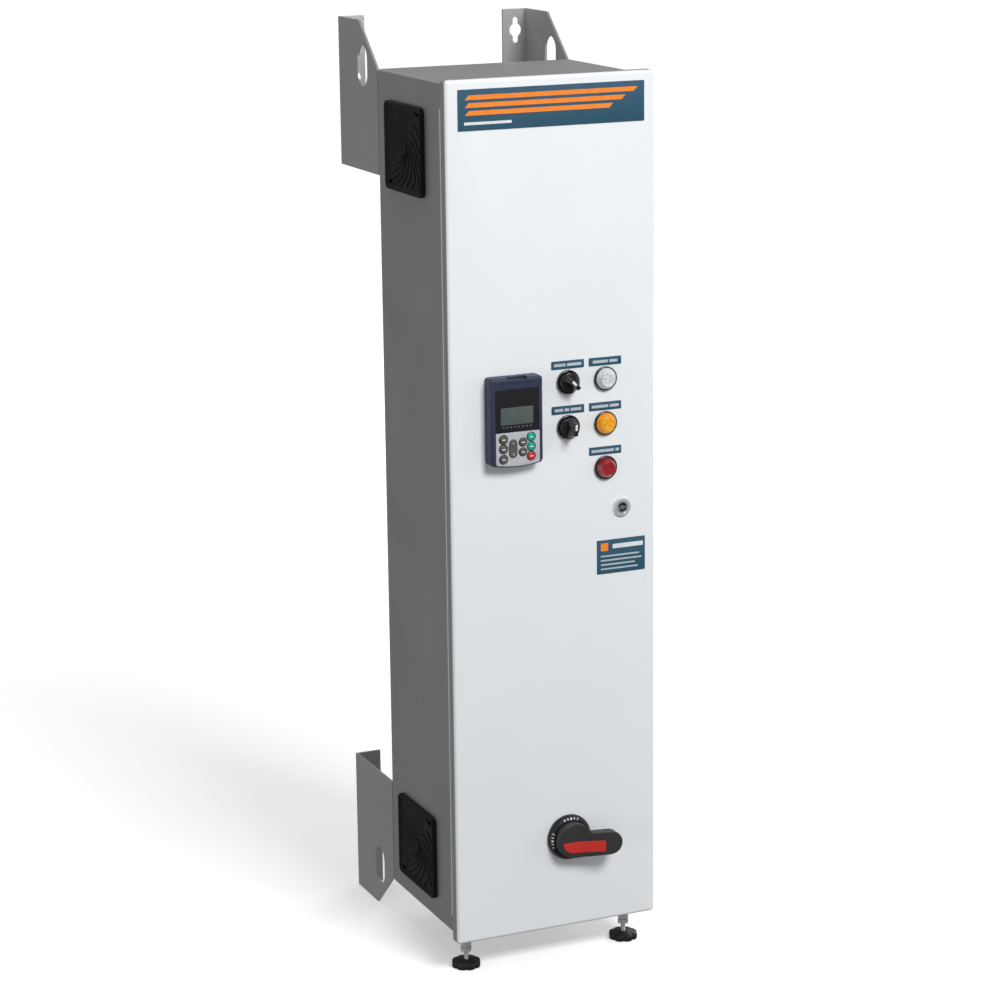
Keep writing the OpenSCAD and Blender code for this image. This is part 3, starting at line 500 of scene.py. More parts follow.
def lathe(bm, x, z, profile, steps=96, flute=None, closed=False):
    """Turns (radius, depth) points round an axis along Y; flute(angle, radius, depth) shifts the radius."""
    rings = []
    for radius, depth in profile:
        ring = []
        for i in range(steps):
            a = 2 * math.pi * i / steps
            r = radius + (flute(a, radius, depth) if flute else 0)
            ring.append(spot(x + r * math.cos(a), depth, z + r * math.sin(a)))
        rings.append(ring)
    return loft(bm, rings, closed=closed)


def upright(bm, x, y, profile, steps=64, flute=None):
    """Turns (radius, height) points round a vertical axis."""
    rings = []
    for radius, height in profile:
        ring = []
        for i in range(steps):
            a = 2 * math.pi * i / steps
            r = radius + (flute(a, radius, height) if flute else 0)
            ring.append(spot(x + r * math.cos(a), y + r * math.sin(a), height))
        rings.append(ring)
    return loft(bm, rings)


def circle(r, steps):
    """Points round a circle, centred on the origin."""
    return [(r * math.cos(a), r * math.sin(a)) for a in (2 * math.pi * i / steps for i in range(steps))]


def block(bm, x0, x1, y0, y1, z0, z1):
    """A box between two places, mostly to cut with."""
    corners = [(x0, z0), (x1, z0), (x1, z1), (x0, z1)]
    return loft(bm, [[spot(u, y, v) for u, v in corners] for y in (y0, y1)])


def pad(bm, x, z, outline, front, back, edge=0.4, slope=None):
    """A flat piece facing the front with a rounded front edge; slope(x) shifts it in depth."""
    lift = slope or (lambda u: 0.0)
    rings = []
    for share, y in ((0.0, back), (0.0, front + edge), (0.3, front + 0.3 * edge), (1.0, front)):
        ring = []
        for i, (u, v) in enumerate(outline):
            a, b = outline[i - 1], outline[(i + 1) % len(outline)]
            tangent = Vector((b[0] - a[0], b[1] - a[1])).normalized()
            nu, nv = -tangent.y * edge * share, tangent.x * edge * share
            ring.append(spot(x + u + nu, y + lift(u), z + v + nv))
        rings.append(ring)
    return loft(bm, rings)


def turned_about(bm, x, z, degrees):
    """Turns everything made so far about an axis along Y."""
    at = spot(x, 0, z)
    spin = Matrix.Rotation(math.radians(degrees), 4, "Y")
    turn = Matrix.Translation(at) @ spin @ Matrix.Translation(-at)
    bmesh.ops.transform(bm, matrix=turn, verts=bm.verts)


def carved(obj, cutter_bm):
    """Cuts the cutter's shapes out of a piece for good."""
    bmesh.ops.recalc_face_normals(cutter_bm, faces=cutter_bm.faces)
    mesh = bpy.data.meshes.new("cutter")
    cutter_bm.to_mesh(mesh)
    cutter_bm.free()
    cutter = bpy.data.objects.new("cutter", mesh)
    bpy.context.scene.collection.objects.link(cutter)
    cut = obj.modifiers.new("cut", "BOOLEAN")
    cut.object = cutter
    cut.solver = "EXACT"
    settled(obj)
    bpy.data.objects.remove(cutter)
    bpy.data.meshes.remove(mesh)
    obj.data.shade_smooth()
    obj.data.set_sharp_from_angle(angle=math.radians(35))
    return obj


def settled(obj):
    """Applies a piece's modifiers."""
    bpy.context.view_layer.update()
    evaluated = obj.evaluated_get(bpy.context.evaluated_depsgraph_get())
    mesh = bpy.data.meshes.new_from_object(evaluated)
    old = obj.data
    obj.modifiers.clear()
    obj.data = mesh
    bpy.data.meshes.remove(old)
    mesh.name = obj.name
    return obj


def cad_copy(node):
    """A bmesh of a CAD node with its split vertices joined and its flats merged."""
    bm = bmesh.new()
    bm.from_mesh(NODES[node].data)
    bmesh.ops.remove_doubles(bm, verts=bm.verts, dist=2e-6)
    bmesh.ops.dissolve_limit(
        bm, angle_limit=math.radians(0.6), use_dissolve_boundaries=False, verts=bm.verts, edges=bm.edges
    )
    return bm


def reworked(node, width, material=None):
    """Stands a copy of the CAD node with rounded edges in its place."""
    slot_name = SLOT_OF[node]
    obj = finished(
        node + "_made", cad_copy(node), BODY_OF[node], material or slot_name, slot_name, (node,)
    )
    return rounded(obj, width) if width else obj


def melted(node, voxel, passes, material):
    """Stands a moulded copy of the CAD node in its place, with every edge blended."""
    obj = finished(
        node + "_made", cad_copy(node), BODY_OF[node], material, SLOT_OF[node], (node,), 180
    )
    remesh = obj.modifiers.new("remesh", "REMESH")
    remesh.mode = "VOXEL"
    remesh.voxel_size = voxel * MM
    remesh.use_smooth_shade = True
    settled(obj)
    bm = bmesh.new()
    bm.from_mesh(obj.data)
    for _ in range(passes):
        bmesh.ops.smooth_vert(
            bm, verts=bm.verts, factor=0.5, use_axis_x=True, use_axis_y=True, use_axis_z=True
        )
    bm.to_mesh(obj.data)
    bm.free()
    obj.data.shade_smooth()
    if not obj.data.materials:
        obj.data.materials.append(MAT[material])
    return obj


# ---------- Enclosure and door ----------

def node_frame(node):
    """x, z, width, height, front and back of a node, in millimetres from the door's front."""
    lo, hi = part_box(node)
    x, z = centre(node)
    return x, z, (hi.x - lo.x) / MM, (hi.z - lo.z) / MM, (lo.y - FRONT) / MM, (hi.y - FRONT) / MM


def build_enclosure():
    """The cabinet: a folded box with a turned-in rim round the door's opening."""
    x, z, w, h, lip, back = node_frame("enclosure_body")
    front = node_frame("door")[5] + DOOR_GAP
    bm = bmesh.new()
    profile = bend(0, back, 3, "back_in")
    profile += bend(0, front, 3, "front_in")
    profile += [
        (RIM - SHEET, front), (RIM - SHEET, lip + 0.2), (RIM - SHEET + 0.2, lip), (RIM - 0.2, lip),
        (RIM, lip + 0.2), (RIM, front + SHEET), (SHEET, front + SHEET), (SHEET, back - SHEET)
    ]
    formed_sheet(bm, x, z, w, h, 3, profile)
    obj = finished("enclosure_shell", bm, "cabinet", "cabinet_grey", None, ("enclosure_body",))
    cutter = bmesh.new()
    outside, inside = -w / 2 - 5, -w / 2 + 5
    for node in ("fan_cover_upper", "fan_cover_lower"):
        cy = (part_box(node)[0].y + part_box(node)[1].y) / 2 / MM - FRONT / MM
        cz = centre(node)[1]
        if node == "fan_cover_upper":
            ring = circle(FAN_OPENING_R, 64)
            loft(cutter, [[spot(u, cy + a, cz + b) for a, b in ring] for u in (outside, inside)])
        else:
            half_w, half_h = INLET_OPENING[0] / 2, INLET_OPENING[1] / 2
            block(cutter, outside, inside, cy - half_w, cy + half_w, cz - half_h, cz + half_h)
    floor = z - h / 2
    block(cutter, *GLAND_OPENING, floor - 5, floor + 5)
    carved(obj, cutter)
    return obj


def control_places():
    """Axes of the two knobs and the three lamps."""
    lamps = [centre(n) for n in ("lens_white", "lens_amber", "lens_red")]
    return [(KNOB_X, lamps[0][1]), (KNOB_X, lamps[1][1])] + lamps


def build_door():
    """The door: a shallow pan with its openings."""
    x, z, w, h, _, back = node_frame("door")
    bm = bmesh.new()
    profile = bend(0, 0, 4, "front_out")
    profile += [(0, back), (SHEET, back)]
    profile += bend(SHEET, SHEET, 2.5, "front_in")
    formed_sheet(bm, x, z, w, h, 4, profile)
    obj = finished("door_pan", bm, "door_assembly", "door_white", None, ("door",))
    cutter = bmesh.new()
    for u, v in control_places():
        lathe(cutter, u, v, [(CONTROL_HOLE_R, -3), (CONTROL_HOLE_R, 5)], 48)
    lathe(cutter, *centre("lock_housing"), [(LOCK_HOLE_R, -3), (LOCK_HOLE_R, 5)], 48)
    lathe(cutter, *centre("handle_escutcheon"), [(HANDLE_HOLE_R, -3), (HANDLE_HOLE_R, 5)], 48)
    kx, kz, kw, kh = node_frame("keypad_body")[:4]
    block(cutter, kx - kw / 2 + 6, kx + kw / 2 - 6, -3, 5, kz - kh / 2 + 9, kz + kh / 2 - 9)
    return carved(obj, cutter)


build_enclosure()
build_door()
for name in ("top_left", "top_right", "bottom_left", "bottom_right"):
    reworked("bracket_" + name, 0.5)

for name in (
    "gland_plate", "mounting_panel", "fan_frame", "drive_housing", "drive_heatsink", "drive_cover",
    "contactors", "overload_relay", "control_transformer", "terminal_block", "din_rails", "wire_ducts",
    "disconnect_switch", "fan_rotor", "contactor_slider_drive", "contactor_slider_bypass",
    "overload_reset", "disconnect_shaft", "contact_blocks", "lock_housing"
):
    reworked(name, 0.3)
reworked("lock_core", 0.3, "core_steel")
reworked("cabinet_fasteners", 0.3, "dull_zinc")
# The hinge parts take the near-white tone that paints their highlight.
for name in ("hinge_frame_leaf", "hinge_door_leaf", "hinge_pin"):
    reworked(name, 0, "hinge_zinc")
for name in ("filter_mat", "door_gasket"):
    reworked(name, 0)


# ---------- Ventilation covers ----------

def cover_reach(angle, half_w, half_h):
    """Distance from the middle to a rectangle's edge in one direction."""
    c, s = abs(math.cos(angle)), abs(math.sin(angle))
    return min(half_w / max(c, 1e-6), half_h / max(s, 1e-6))


def cover_back(bm, place, half_w, half_h, hole_r):
    """A thin plate behind the vanes, with the fan's round opening."""
    angles = [2 * math.pi * i / 96 for i in range(96)]
    outer = [(a, cover_reach(a, half_w, half_h)) for a in angles]
    inner = [(a, hole_r) for a in angles]
    low, high = 0.15, 0.9
    rings = []
    for edge, out in ((outer, low), (outer, high), (inner, high), (inner, low)):
        rings.append([place(r * math.cos(a), r * math.sin(a), out) for a, r in edge])
    loft(bm, rings, closed=True)


def build_cover(node):
    """A square cover: rim, swirled vanes, hub and corner gussets."""
    lo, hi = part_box(node)
    mid_y, mid_z = (lo.y + hi.y) / 2, (lo.z + hi.z) / 2
    w, h = (hi.y - lo.y) / MM, (hi.z - lo.z) / MM

    def place(u, v, out):
        return Vector((hi.x - out * MM, mid_y + u * MM, mid_z + v * MM))

    half_w, half_h = w / 2 - COVER_RIM, h / 2 - COVER_RIM
    bm = bmesh.new()
    section = [
        (0, 0), (0, 4.6), (0.4, 5.6), (1.3, 6), (3.0, 6), (3.8, 5.6), (4.3, 4.6),
        (4.9, 4.1), (7.0, 4.0), (7.5, 3.5), (7.7, 2.6), (7.7, 0)
    ]
    rings = [[place(u, v, out) for u, v in inset_box(w, h, COVER_CORNER, inset, 8)]
             for inset, out in section]
    loft(bm, rings, closed=True)
    step = 2 * math.pi / VANES
    for i in range(VANES):
        sections = []
        for k in range(25):
            t = k / 24
            corners = []
            for side, top in ((0.0, 4.3), (VANE_SHARE, 3.5)):
                angle = i * step + VANE_TURN * t ** 0.85 + side * step
                edge = cover_reach(angle, half_w, half_h)
                radius = VANE_ROOT_R + (edge - VANE_ROOT_R) * t
                corners.append((radius * math.cos(angle), radius * math.sin(angle), top))
            a, b = corners
            sections.append([
                place(a[0], a[1], a[2]), place(b[0], b[1], b[2]),
                place(b[0], b[1], b[2] - 1.1), place(a[0], a[1], a[2] - 1.6)
            ])
        loft(bm, sections)
    hub = [(9.2, 0.6), (9.2, 3.9), (8.6, 4.7), (7.4, 5.1), (5.2, 5.2), (4.6, 4.8), (0.2, 4.7)]
    loft(bm, [[place(u, v, out) for u, v in circle(r, 48)] for r, out in hub])
    for sx in (-1, 1):
        for sy in (-1, 1):
            u, v = sx * half_w, sy * half_h
            gusset = [(u, v), (u - sx * 26, v), (u, v - sy * 26)]
            loft(bm, [[place(a, b, out) for a, b in gusset] for out in (0.3, 1.5)])
    if node == "fan_cover_upper":
        cover_back(bm, place, half_w, half_h, FAN_OPENING_R - 0.5)
    return finished(node + "_made", bm, "cabinet", "cover_black", "black_plastic", (node,), 40)


for name in ("fan_cover_upper", "fan_cover_lower"):
    build_cover(name)


# ---------- Levelling feet ----------

def build_foot(node):
    """A lobed pad and its threaded stud, whose thread is drawn as rings."""
    lo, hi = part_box(node)
    x, y = (lo.x + hi.x) / 2 / MM, ((lo.y + hi.y) / 2 - FRONT) / MM
    r = (hi.x - lo.x) / 2 / MM
    top = hi.z / MM

    def lobes(a, radius, height):
        return 0.0 if radius < r - 6 else -2.0 * (1 - abs(math.cos(4 * a))) ** 1.3

    bm = bmesh.new()
    upright(bm, x, y, [
        (r - 2.2, 0), (r - 0.7, 0.5), (r - 0.1, 1.8), (r - 0.1, 6.2), (r - 0.8, 7.6), (r - 2.2, 8.3),
        (r - 5, 8.7), (r - 8, 9.2), (9, 9.5), (7.8, 9.8), (7.2, 10), (4.4, 10), (4.2, 9.2), (0.3, 9.2)
    ], 96, lobes)
    base = finished(node + "_pad", bm, node + "_body", "black_plastic", None, (node,))
    bm = bmesh.new()
    pitch, crest, root = 1.0, 2.95, 2.5
    profile = [(0.3, 8.6), (root, 8.6)]
    turns = int((top - 10) / pitch)
    for i in range(turns):
        z = 9.4 + i * pitch
        profile += [(root, z), (crest, z + 0.35), (crest, z + 0.55), (root, z + 0.9)]
    profile += [(root, top - 0.4), (root - 0.5, top), (0.3, top)]
    upright(bm, x, y, profile, 32)
    stud = finished(node + "_stud", bm, node + "_body", "zinc_steel")
    return base, stud


for name in ("foot_left", "foot_right"):
    build_foot(name)
reworked("foot_sleeves", 0.5)


# ---------- Plates with generic prints ----------

def slanted_bar(bm, x, z, w, h, lean, front):
    """A printed bar whose ends lean, a hair proud of the face it is on."""
    points = [(-w / 2, -h / 2), (w / 2 - lean, -h / 2), (w / 2, h / 2), (-w / 2 + lean, h / 2)]
    loft(bm, [[spot(x + u, y, z + v) for u, v in points] for y in (front + 0.1, front - 0.06)])


def build_plates():
    """Nameplate, legend plates and information plate, with plain bars for print."""
    x, z, w, h, front, _ = node_frame("nameplate")
    bm = bmesh.new()
    pad(bm, x, z, box_outline(w, h, 1), front + 0.1, 0, 0.25)
    finished("nameplate_film", bm, "door_assembly", "plate_blue", None, ("nameplate",))
    face = front + 0.1
    bm = bmesh.new()
    for i, (shift, length) in enumerate(((0, 222), (-8, 206), (-16, 190))):
        slanted_bar(bm, x + shift, z + 14.5 - i * 9, length, 5.4, 5, face)
    finished("nameplate_stripes", bm, "door_assembly", "print_orange", "plate_blue")
    bm = bmesh.new()
    slanted_bar(bm, x - 82, z - 15.5, 60, 3.2, 0, face)
    finished("nameplate_bar", bm, "door_assembly", "print_white", "plate_blue")

    bm = bmesh.new()
    marks = bmesh.new()
    orange = bmesh.new()
    widths = ((15, 19), (11, 6, 14), (20, 11), (22, 12), (30, 5))
    for (cx, cz), words in zip(control_places(), widths):
        pad(bm, cx, cz + LEGEND_LIFT, box_outline(*LEGEND, 0.8), PLATE_FACE, 0, 0.25)
        length = sum(words) + WORD_GAP * (len(words) - 1)
        at = cx - length / 2
        for word in words:
            slanted_bar(marks, at + word / 2, cz + LEGEND_LIFT, word, 3.4, 0, PLATE_FACE)
            at += word + WORD_GAP
    cx, cz = INFO_X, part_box("legend_plates")[0].z / MM + INFO_PLATE[1] / 2
    pad(bm, cx, cz, box_outline(*INFO_PLATE, 0.8), PLATE_FACE, 0, 0.25)
    finished("legend_films", bm, "door_assembly", "plate_blue", None, ("legend_plates",))
    heading = bmesh.new()
    slanted_bar(heading, cx + 9, cz + 12.5, 41, 5.5, 0, PLATE_FACE)
    slanted_bar(orange, cx - 22.5, cz + 12.5, 10, 10, 0, PLATE_FACE)
    for i, length in enumerate((52, 55, 46, 50)):
        slanted_bar(marks, cx - 27.5 + length / 2, cz + 1 - i * 5.4, length, 1.9, 0, PLATE_FACE)
    finished("legend_marks", marks, "door_assembly", "print_pale", "plate_blue")
    finished("info_heading", heading, "door_assembly", "print_white", "plate_blue")
    finished("info_mark", orange, "door_assembly", "print_orange", "plate_blue")


build_plates()


# ---------- Keypad ----------

KEY_NAMES = (
    "key_left_top", "key_left_middle", "key_left_bottom", "key_centre_top", "key_centre_bottom",
    "key_forward", "key_reverse", "key_stop"
)


def arched(w, h, r, drop, steps=8):
    """A rounded rectangle whose foot bulges down in an arc; drop is how far the arc's middle hangs."""
    points = []
    for u, v in box_outline(w, h, r, steps):
        if v > -h / 2 + r + 0.01:
            points.append((u, v))
    span = 40
    for i in range(span + 1):
        a = -1 + 2 * i / span
        u = a * w / 2
        corner = max(0.0, abs(u) - (w / 2 - r))
        lift = r - math.sqrt(max(r * r - corner * corner, 0))
        points.append((u, -h / 2 + drop * a * a + lift))
    return points


def build_keypad():
    """The keypad's case, with recesses for its window and panel."""
    x, z, w, h, front, back = node_frame("keypad_body")
    drop, corner, slack = 3.8, 4, 0.3
    bm = bmesh.new()
    rings = []
    for inset, y in (
        (0, 0), (0, front + 4.2), (0.25, front + 2.2), (0.9, front + 0.8), (1.9, front + 0.15), (2.9, front)
    ):
        outline = arched(w - 2 * inset, h - 2 * inset, max(corner - inset, 0.8), drop)
        rings.append([spot(x + u, y, z + v) for u, v in outline])
    loft(bm, rings)
    block(bm, x - w / 2 + 6.5, x + w / 2 - 6.5, 0.01, back, z - h / 2 + 9.5, z + h / 2 - 9.5)
    obj = finished("keypad_case", bm, "door_assembly", "keypad_navy", None, ("keypad_body",))
    cutter = bmesh.new()
    wx, wz, ww, wh = node_frame("keypad_window")[:4]
    block(
        cutter, wx - ww / 2 - slack, wx + ww / 2 + slack, front - 2, front + 2.6,
        wz - wh / 2 - slack, wz + wh / 2 + slack
    )
    px, pz, pw, ph = node_frame("keypad_panel")[:4]
    block(
        cutter, px - pw / 2 - slack, px + pw / 2 + slack, front - 2, front + 1.6,
        pz - ph / 2 + 4.5, pz + ph / 2 + slack
    )
    carved(obj, cutter)
    cutter = bmesh.new()
    block(cutter, x - 12, x + 13.5, front - 2, front + 9, z + h / 2 - 2.8, z + h / 2 + 2)
    block(cutter, x - 21, x + 21, front - 1, front + 0.9, z + h / 2 - 7.2, z + h / 2 - 5.8)
    carved(obj, cutter)
    return rounded(obj, 0.3, 2, 50)


def build_window():
    """The window, its blank display and a row of plain marks."""
    x, z, w, h, front, _ = node_frame("keypad_window")
    bm = bmesh.new()
    pad(bm, x, z, box_outline(w, h, 1.2), front, front + 2, 0.4)
    finished("keypad_glass", bm, "door_assembly", "window_black", None, ("keypad_window",))
    bm = bmesh.new()
    pad(bm, x, z - 7, box_outline(42, 21, 0.8), front - 0.12, front + 0.5, 0.3)
    finished("keypad_display", bm, "door_assembly", "lcd", "window_black")
    bm = bmesh.new()
    for i in range(8):
        slanted_bar(bm, x - 17.5 + i * 5, z - 20.3, 2.6, 1.1, 0, front)
    finished("keypad_marks", bm, "door_assembly", "print_dim", "window_black")


def build_panel():
    """The silver plate, with a hole for each key."""
    x, z, w, h, front, back = node_frame("keypad_panel")
    bm = bmesh.new()
    outline = arched(w, h, 1.6, 2.7)
    pad(bm, x, z, outline, front, back, 0.35)
    obj = finished("keypad_plate", bm, "door_assembly", "panel_silver", None, ("keypad_panel",))
    cutter = bmesh.new()
    for name in KEY_NAMES:
        kx, kz, kw = node_frame(name)[:3]
        lathe(cutter, kx, kz, [(kw / 2 + 0.4, front - 2), (kw / 2 + 0.4, back + 2)], 48)
    kx, kz, kw, kh = node_frame("key_rocker")[:4]
    kw -= ROCKER_SLIMMING
    outline = box_outline(kw + 0.8, kh + 0.8, (kw + 0.8) / 2, 12)
    loft(cutter, [[spot(kx + u, y, kz + v) for u, v in outline] for y in (front - 2, back + 2)])
    return carved(obj, cutter)


def build_keys():
    """The keys' surrounds, caps and plain marks."""
    face = node_frame("keypad_panel")[4]
    bm = bmesh.new()
    for name in KEY_NAMES:
        x, z, w = node_frame(name)[:3]
        r = w / 2
        lathe(bm, x, z, [
            (r + 0.42, face + 0.3), (r + 0.42, face - 0.02), (r + 0.7, face - 0.12),
            (r + 0.9, face - 0.12), (r + 1.05, face - 0.02), (r + 1.05, face + 0.3)
        ], 64, closed=True)
    finished("key_surrounds", bm, "door_assembly", "window_black", "panel_silver")
    for name in KEY_NAMES:
        x, z, w, _, front, back = node_frame(name)
        r = w / 2
        bm = bmesh.new()
        lathe(bm, x, z, [
            (0.2, back), (r, back), (r, front + 1.1), (r - 0.25, front + 0.6), (r - 0.8, front + 0.3),
            (r - 1.1, front + 0.35), (r - 1.3, front + 0.55), (r - 1.6, front + 0.3),
            (r - 2.4, front + 0.1), (0.3, front)
        ], 64)
        finished(name + "_cap", bm, name + "_body", SLOT_OF[name], None, (name,), 45)
        bm = bmesh.new()
        slanted_bar(bm, x, z, 4.4, 1.2, 0, front)
        finished(name + "_mark", bm, name + "_body", "print_white", SLOT_OF[name])
    x, z, w, h, front, back = node_frame("key_rocker")
    w -= ROCKER_SLIMMING
    bm = bmesh.new()
    rings = []
    for inset, y in (
        (0, front + 4), (0, front + 0.9), (0.3, front + 0.3), (0.9, front + 0.05), (2.2, front + 0.3)
    ):
        outline = box_outline(w - 2 * inset, h - 2 * inset, (w - 2 * inset) / 2, 12)
        rings.append([spot(x + u, y + 0.35 * (1 - abs(v) / h * 2), z + v) for u, v in outline])
    loft(bm, rings)
    finished("key_rocker_cap", bm, "key_rocker_body", "key_taupe", None, ("key_rocker",), 45)
    bm = bmesh.new()
    for side in (-1, 1):
        points = [(-1.4, side * 6), (1.4, side * 6), (0, side * 8.2)]
        loft(bm, [[spot(x + u, y, z + v) for u, v in points] for y in (front + 0.5, front + 0.12)])
    finished("key_rocker_marks", bm, "key_rocker_body", "print_pale", "key_taupe")


build_keypad()
build_window()
build_panel()
build_keys()


# ---------- Lamps and selectors ----------

def ripple(angle, depth, count):
    """How far a row of shallow grooves goes in at an angle."""
    return -depth * (0.5 + 0.5 * math.cos(count * angle))


def build_bezels():
    """Knurled rings round the knobs and lamps."""
    bm = bmesh.new()

    def knurl(a, radius, depth):
        return ripple(a, 0.28, 40) if radius > 14.3 and depth > -3.2 else 0.0

    for x, z in control_places():
        lathe(bm, x, z, [
            (10.9, 11), (10.9, 0.05), (14.75, 0.05), (14.75, -2.9), (14.5, -3.5), (14.0, -3.9), (13.5, -4),
            (13.1, -3.7), (13.1, -1), (8, -1), (8, 11)
        ], 160, knurl)
    finished("control_bezels_made", bm, "door_assembly", "gloss_black", "black_plastic", ("control_bezels",))


def build_lens(node):
    """A fluted lens with rings on its face."""
    x, z = centre(node)
    bm = bmesh.new()

    def flutes(a, radius, depth):
        return ripple(a, 0.4, 36) if 8.9 < radius < 12.95 and -10.2 < depth < -4.2 else 0.0

    profile = [(0.3, 3.5), (7.4, 3.5), (7.4, -1.1), (12.9, -1.1), (12.9, -4), (12.6, -4.6)]
    for i in range(7):
        t = i / 6
        profile.append((12.45 - 3.3 * t, -4.8 - 5.3 * t))
    profile += [(8.9, -10.6), (8.6, -10.95), (8.1, -11), (7.7, -10.6), (7.3, -10.5)]
    for ring in (6.2, 4.9, 3.6, 2.3):
        profile += [(ring + 0.5, -10.75), (ring, -10.5)]
    profile.append((0.3, -10.8))
    lathe(bm, x, z, profile, 144, flutes)
    finished(node + "_made", bm, BODY_OF[node], SLOT_OF[node], None, (node,), 50)


def build_knob(node, turn):
    """A knob with a tapered grip, turned to where it rests."""
    z = centre("lens_white" if node.endswith("upper") else "lens_amber")[1]
    x = control_places()[0][0]
    bm = bmesh.new()

    def grip(a, radius, depth):
        return ripple(a, 0.3, 24) if radius > 11.9 and -7.6 < depth < -1.5 else 0.0

    lathe(bm, x, z, [
        (0.3, 5.8), (7.4, 5.8), (7.4, -1.15), (12.5, -1.15), (12.5, -7.4), (12.2, -8.3), (11.4, -8.9),
        (0.3, -9)
    ], 144, grip)
    wide, tall = 7, 19
    section = [(2 * u / wide, 2 * v / tall) for u, v in box_outline(wide, tall, 2.2, 5)]
    rings = []
    for y, half_w, half_h in (
        (-8.6, 5.4, 11.7), (-9.6, 4.8, 11.4), (-16, 3.4, 9.3), (-22.5, 2.6, 7.7),
        (-24.3, 2.3, 7.3), (-24.85, 1.8, 6.9), (KNOB_FACE, 1.2, 6.4)
    ):
        rings.append([spot(x + u * half_w, y, z + v * half_h) for u, v in section])
    loft(bm, rings)
    turned_about(bm, x, z, turn)
    finished(node + "_made", bm, BODY_OF[node], "gloss_black", "black_plastic", (node,), 42)
    bm = bmesh.new()
    pad(bm, x, z + 3.1, box_outline(3.0, 7.2, 1.1, 5), KNOB_FACE - 0.2, KNOB_FACE + 0.6, 0.15)
    turned_about(bm, x, z, turn)
    finished(node + "_pointer", bm, BODY_OF[node], "print_white", "black_plastic")


build_bezels()
for name in ("lens_white", "lens_amber", "lens_red"):
    build_lens(name)
build_knob("selector_knob_upper", -45)
build_knob("selector_knob_lower", 0)


# ---------- Disconnect handle ----------

def build_handle():
    """The lever with its red insert, and the escutcheon with plain ticks."""
    x, z = centre("handle_escutcheon")
    melted("disconnect_handle", 0.5, 7, "handle_grey")
    bm = bmesh.new()
    lathe(bm, x, z, [
        (12.5, 5), (12.5, 0), (28.6, 0), (28.9, -0.6), (28.9, -2.4), (28.4, -4.8), (27.2, -7), (25.4, -8.5),
        (23.6, -9), (22.6, -8.8), (22.2, -8.2), (21.6, -8.1), (9.2, -8.1), (9.2, 5)
    ], 128)
    finished("handle_escutcheon_made", bm, "door_assembly", "black_plastic", None, ("handle_escutcheon",))

    bm = bmesh.new()
    band = ((24.2, -8.83), (25.4, -8.5), (26.9, -7.25))
    for base in (90, 180):
        for k in range(-2, 3):
            a = math.radians(base + k * 10)
            half = math.radians(1.6 if k else 3.2)
            sections = []
            for r, y in band:
                sections.append([spot(x + r * math.cos(b), y + lift, z + r * math.sin(b)) for b, lift in (
                    (a - half, 0.3), (a + half, 0.3), (a + half, -0.14), (a - half, -0.14)
                )])
            loft(bm, sections)
    finished("handle_ticks", bm, "door_assembly", "print_pale", "black_plastic")

    def surface(u):
        """Depth of the lever's face at a distance from the axis."""
        return -20 - min(max(u, 0), 8) / 8 - max(u - 8, 0) * 11 / 32.5

    left, right, reach = -16.6, 36.8, 16.7
    high, drop, steps = -1.2, -15.6, 48
    sections = []
    for i in range(steps + 1):
        u = left + (right - left) * i / steps
        low = drop * math.sqrt(1 - (min(u, 0) / reach) ** 2)
        y = surface(u)
        sections.append([spot(x + u, y + depth, z + v) for depth, v in (
            (0.6, low), (-0.3, low), (-0.6, low + 0.3), (-0.6, high - 0.3), (-0.3, high), (0.6, high)
        )])
    bm = bmesh.new()
    loft(bm, sections)
    finished("handle_insert", bm, BODY_OF["disconnect_handle"], "insert_red", "black_plastic")


build_handle()


# ---------- Stage, light and camera ----------

def area_light(name, where, at, size, watts):
    """A rectangular light that faces a place."""
    data = bpy.data.lights.new(name, "AREA")
    data.shape = "RECTANGLE"
    data.size, data.size_y = size
    data.energy = watts
    obj = bpy.data.objects.new(name, data)
    obj.location = where
    obj.rotation_mode = "QUATERNION"
    obj.rotation_quaternion = (Vector(at) - Vector(where)).to_track_quat("-Z", "Y")
    bpy.context.scene.collection.objects.link(obj)


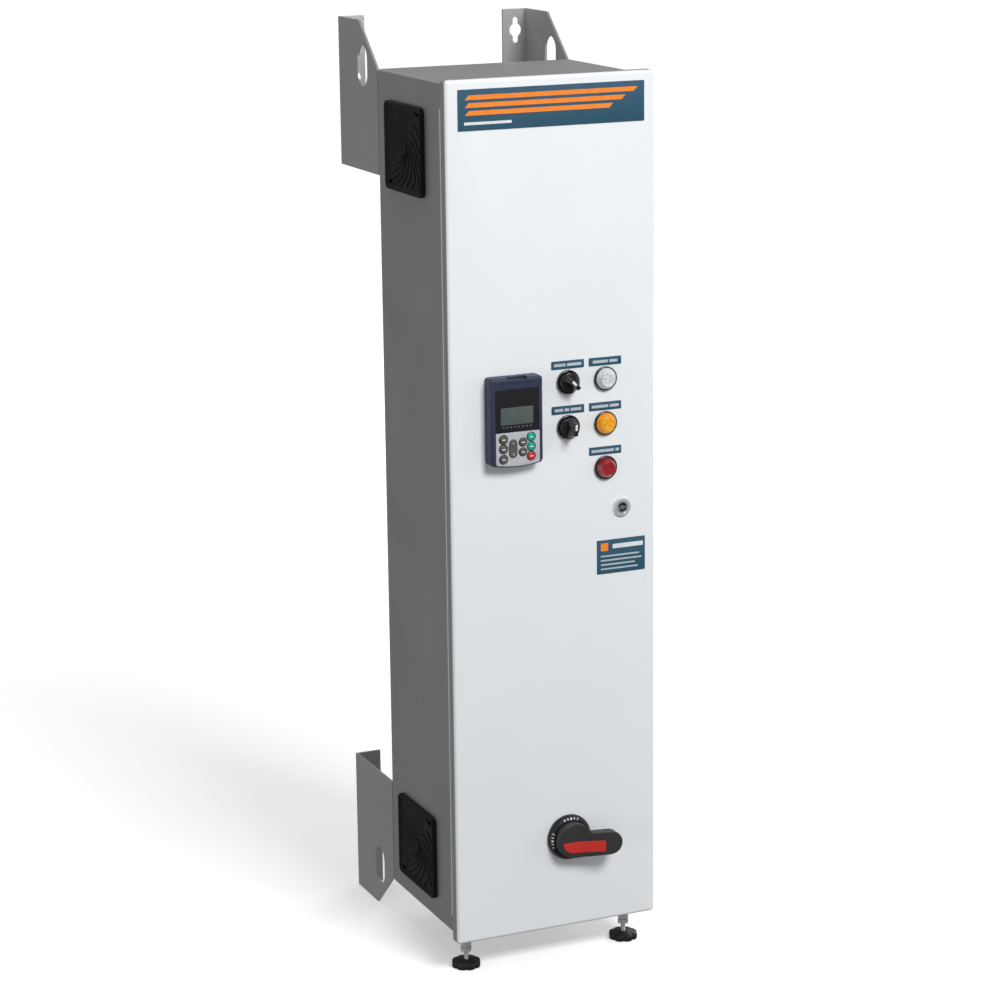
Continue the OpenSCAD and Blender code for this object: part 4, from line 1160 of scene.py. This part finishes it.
def build_stage():
    """White floor that brightens away from the object, even sky and five soft lights."""
    s = Shader("floor_paper", 0.9)
    s.colour(s.mix(s.spread(s.noise(3, 3), 0, 1), (0.93, 0.93, 0.93), (0.95, 0.95, 0.95)))
    s.bsdf.inputs["Emission Color"].default_value = (1, 1, 1, 1)
    distance = s.node("ShaderNodeVectorMath", operation="LENGTH")
    s.link(s.place, distance.inputs[0])
    s.link(s.spread(distance.outputs["Value"], 0.38, 0.85, 0.6, 3.4), s.bsdf.inputs["Emission Strength"])
    bm = bmesh.new()
    reach = 60
    corners = ((-1, -1), (1, -1), (1, 1), (-1, 1))
    bm.faces.new([bm.verts.new((sx * reach, sy * reach, 0)) for sx, sy in corners])
    mesh = bpy.data.meshes.new("floor")
    bm.to_mesh(mesh)
    bm.free()
    mesh.materials.append(s.mat)
    floor = bpy.data.objects.new("floor", mesh)
    floor.visible_diffuse = False
    floor.visible_glossy = False
    bpy.context.scene.collection.objects.link(floor)

    world = bpy.data.worlds.new("studio")
    bpy.context.scene.world = world
    world.use_nodes = True
    tree = world.node_tree
    sky = tree.nodes["Background"]
    sky.inputs["Color"].default_value = (1, 1, 1, 1)
    seen = tree.nodes.new("ShaderNodeLightPath")
    level = tree.nodes.new("ShaderNodeMapRange")
    level.inputs[3].default_value = 0.22
    level.inputs[4].default_value = 1.0
    tree.links.new(seen.outputs["Is Camera Ray"], level.inputs[0])
    tree.links.new(level.outputs[0], sky.inputs["Strength"])

    middle = (0, 0, 0.6)
    area_light("key", (0.6, -3.4, 3.25), middle, (1.5, 1.2), 141)
    area_light("right_fill", (3.2, -1.6, 1.2), middle, (1.6, 2.6), 20)
    area_light("left_low", (-3.0, -1.0, 0.3), (0, 0, 0.3), (2.0, 1.0), 20)
    area_light("top", (-0.6, 1.4, 3.4), middle, (1.4, 1.4), 16)
    area_light("back_fill", (3.4, 2.6, 1.8), middle, (2.4, 2.6), 42)
    bpy.context.scene.view_settings.view_transform = "Standard"


def build_camera():
    """The photo's camera."""
    data = bpy.data.cameras.new("camera")
    data.sensor_width = 36
    data.lens = CAMERA_LENS
    data.clip_end = 200
    cam = bpy.data.objects.new("camera", data)
    yaw, pitch, roll = (math.radians(a) for a in CAMERA_TURNS)
    cam.matrix_world = (
        Matrix.Translation(CAMERA_PLACE)
        @ Matrix.Rotation(yaw, 4, "Z") @ Matrix.Rotation(pitch, 4, "X")
        @ Matrix.Rotation(roll, 4, "Y") @ Matrix.Rotation(RIGHT_ANGLE, 4, "X")
    )
    bpy.context.scene.collection.objects.link(cam)
    bpy.context.scene.camera = cam


build_stage()
build_camera()
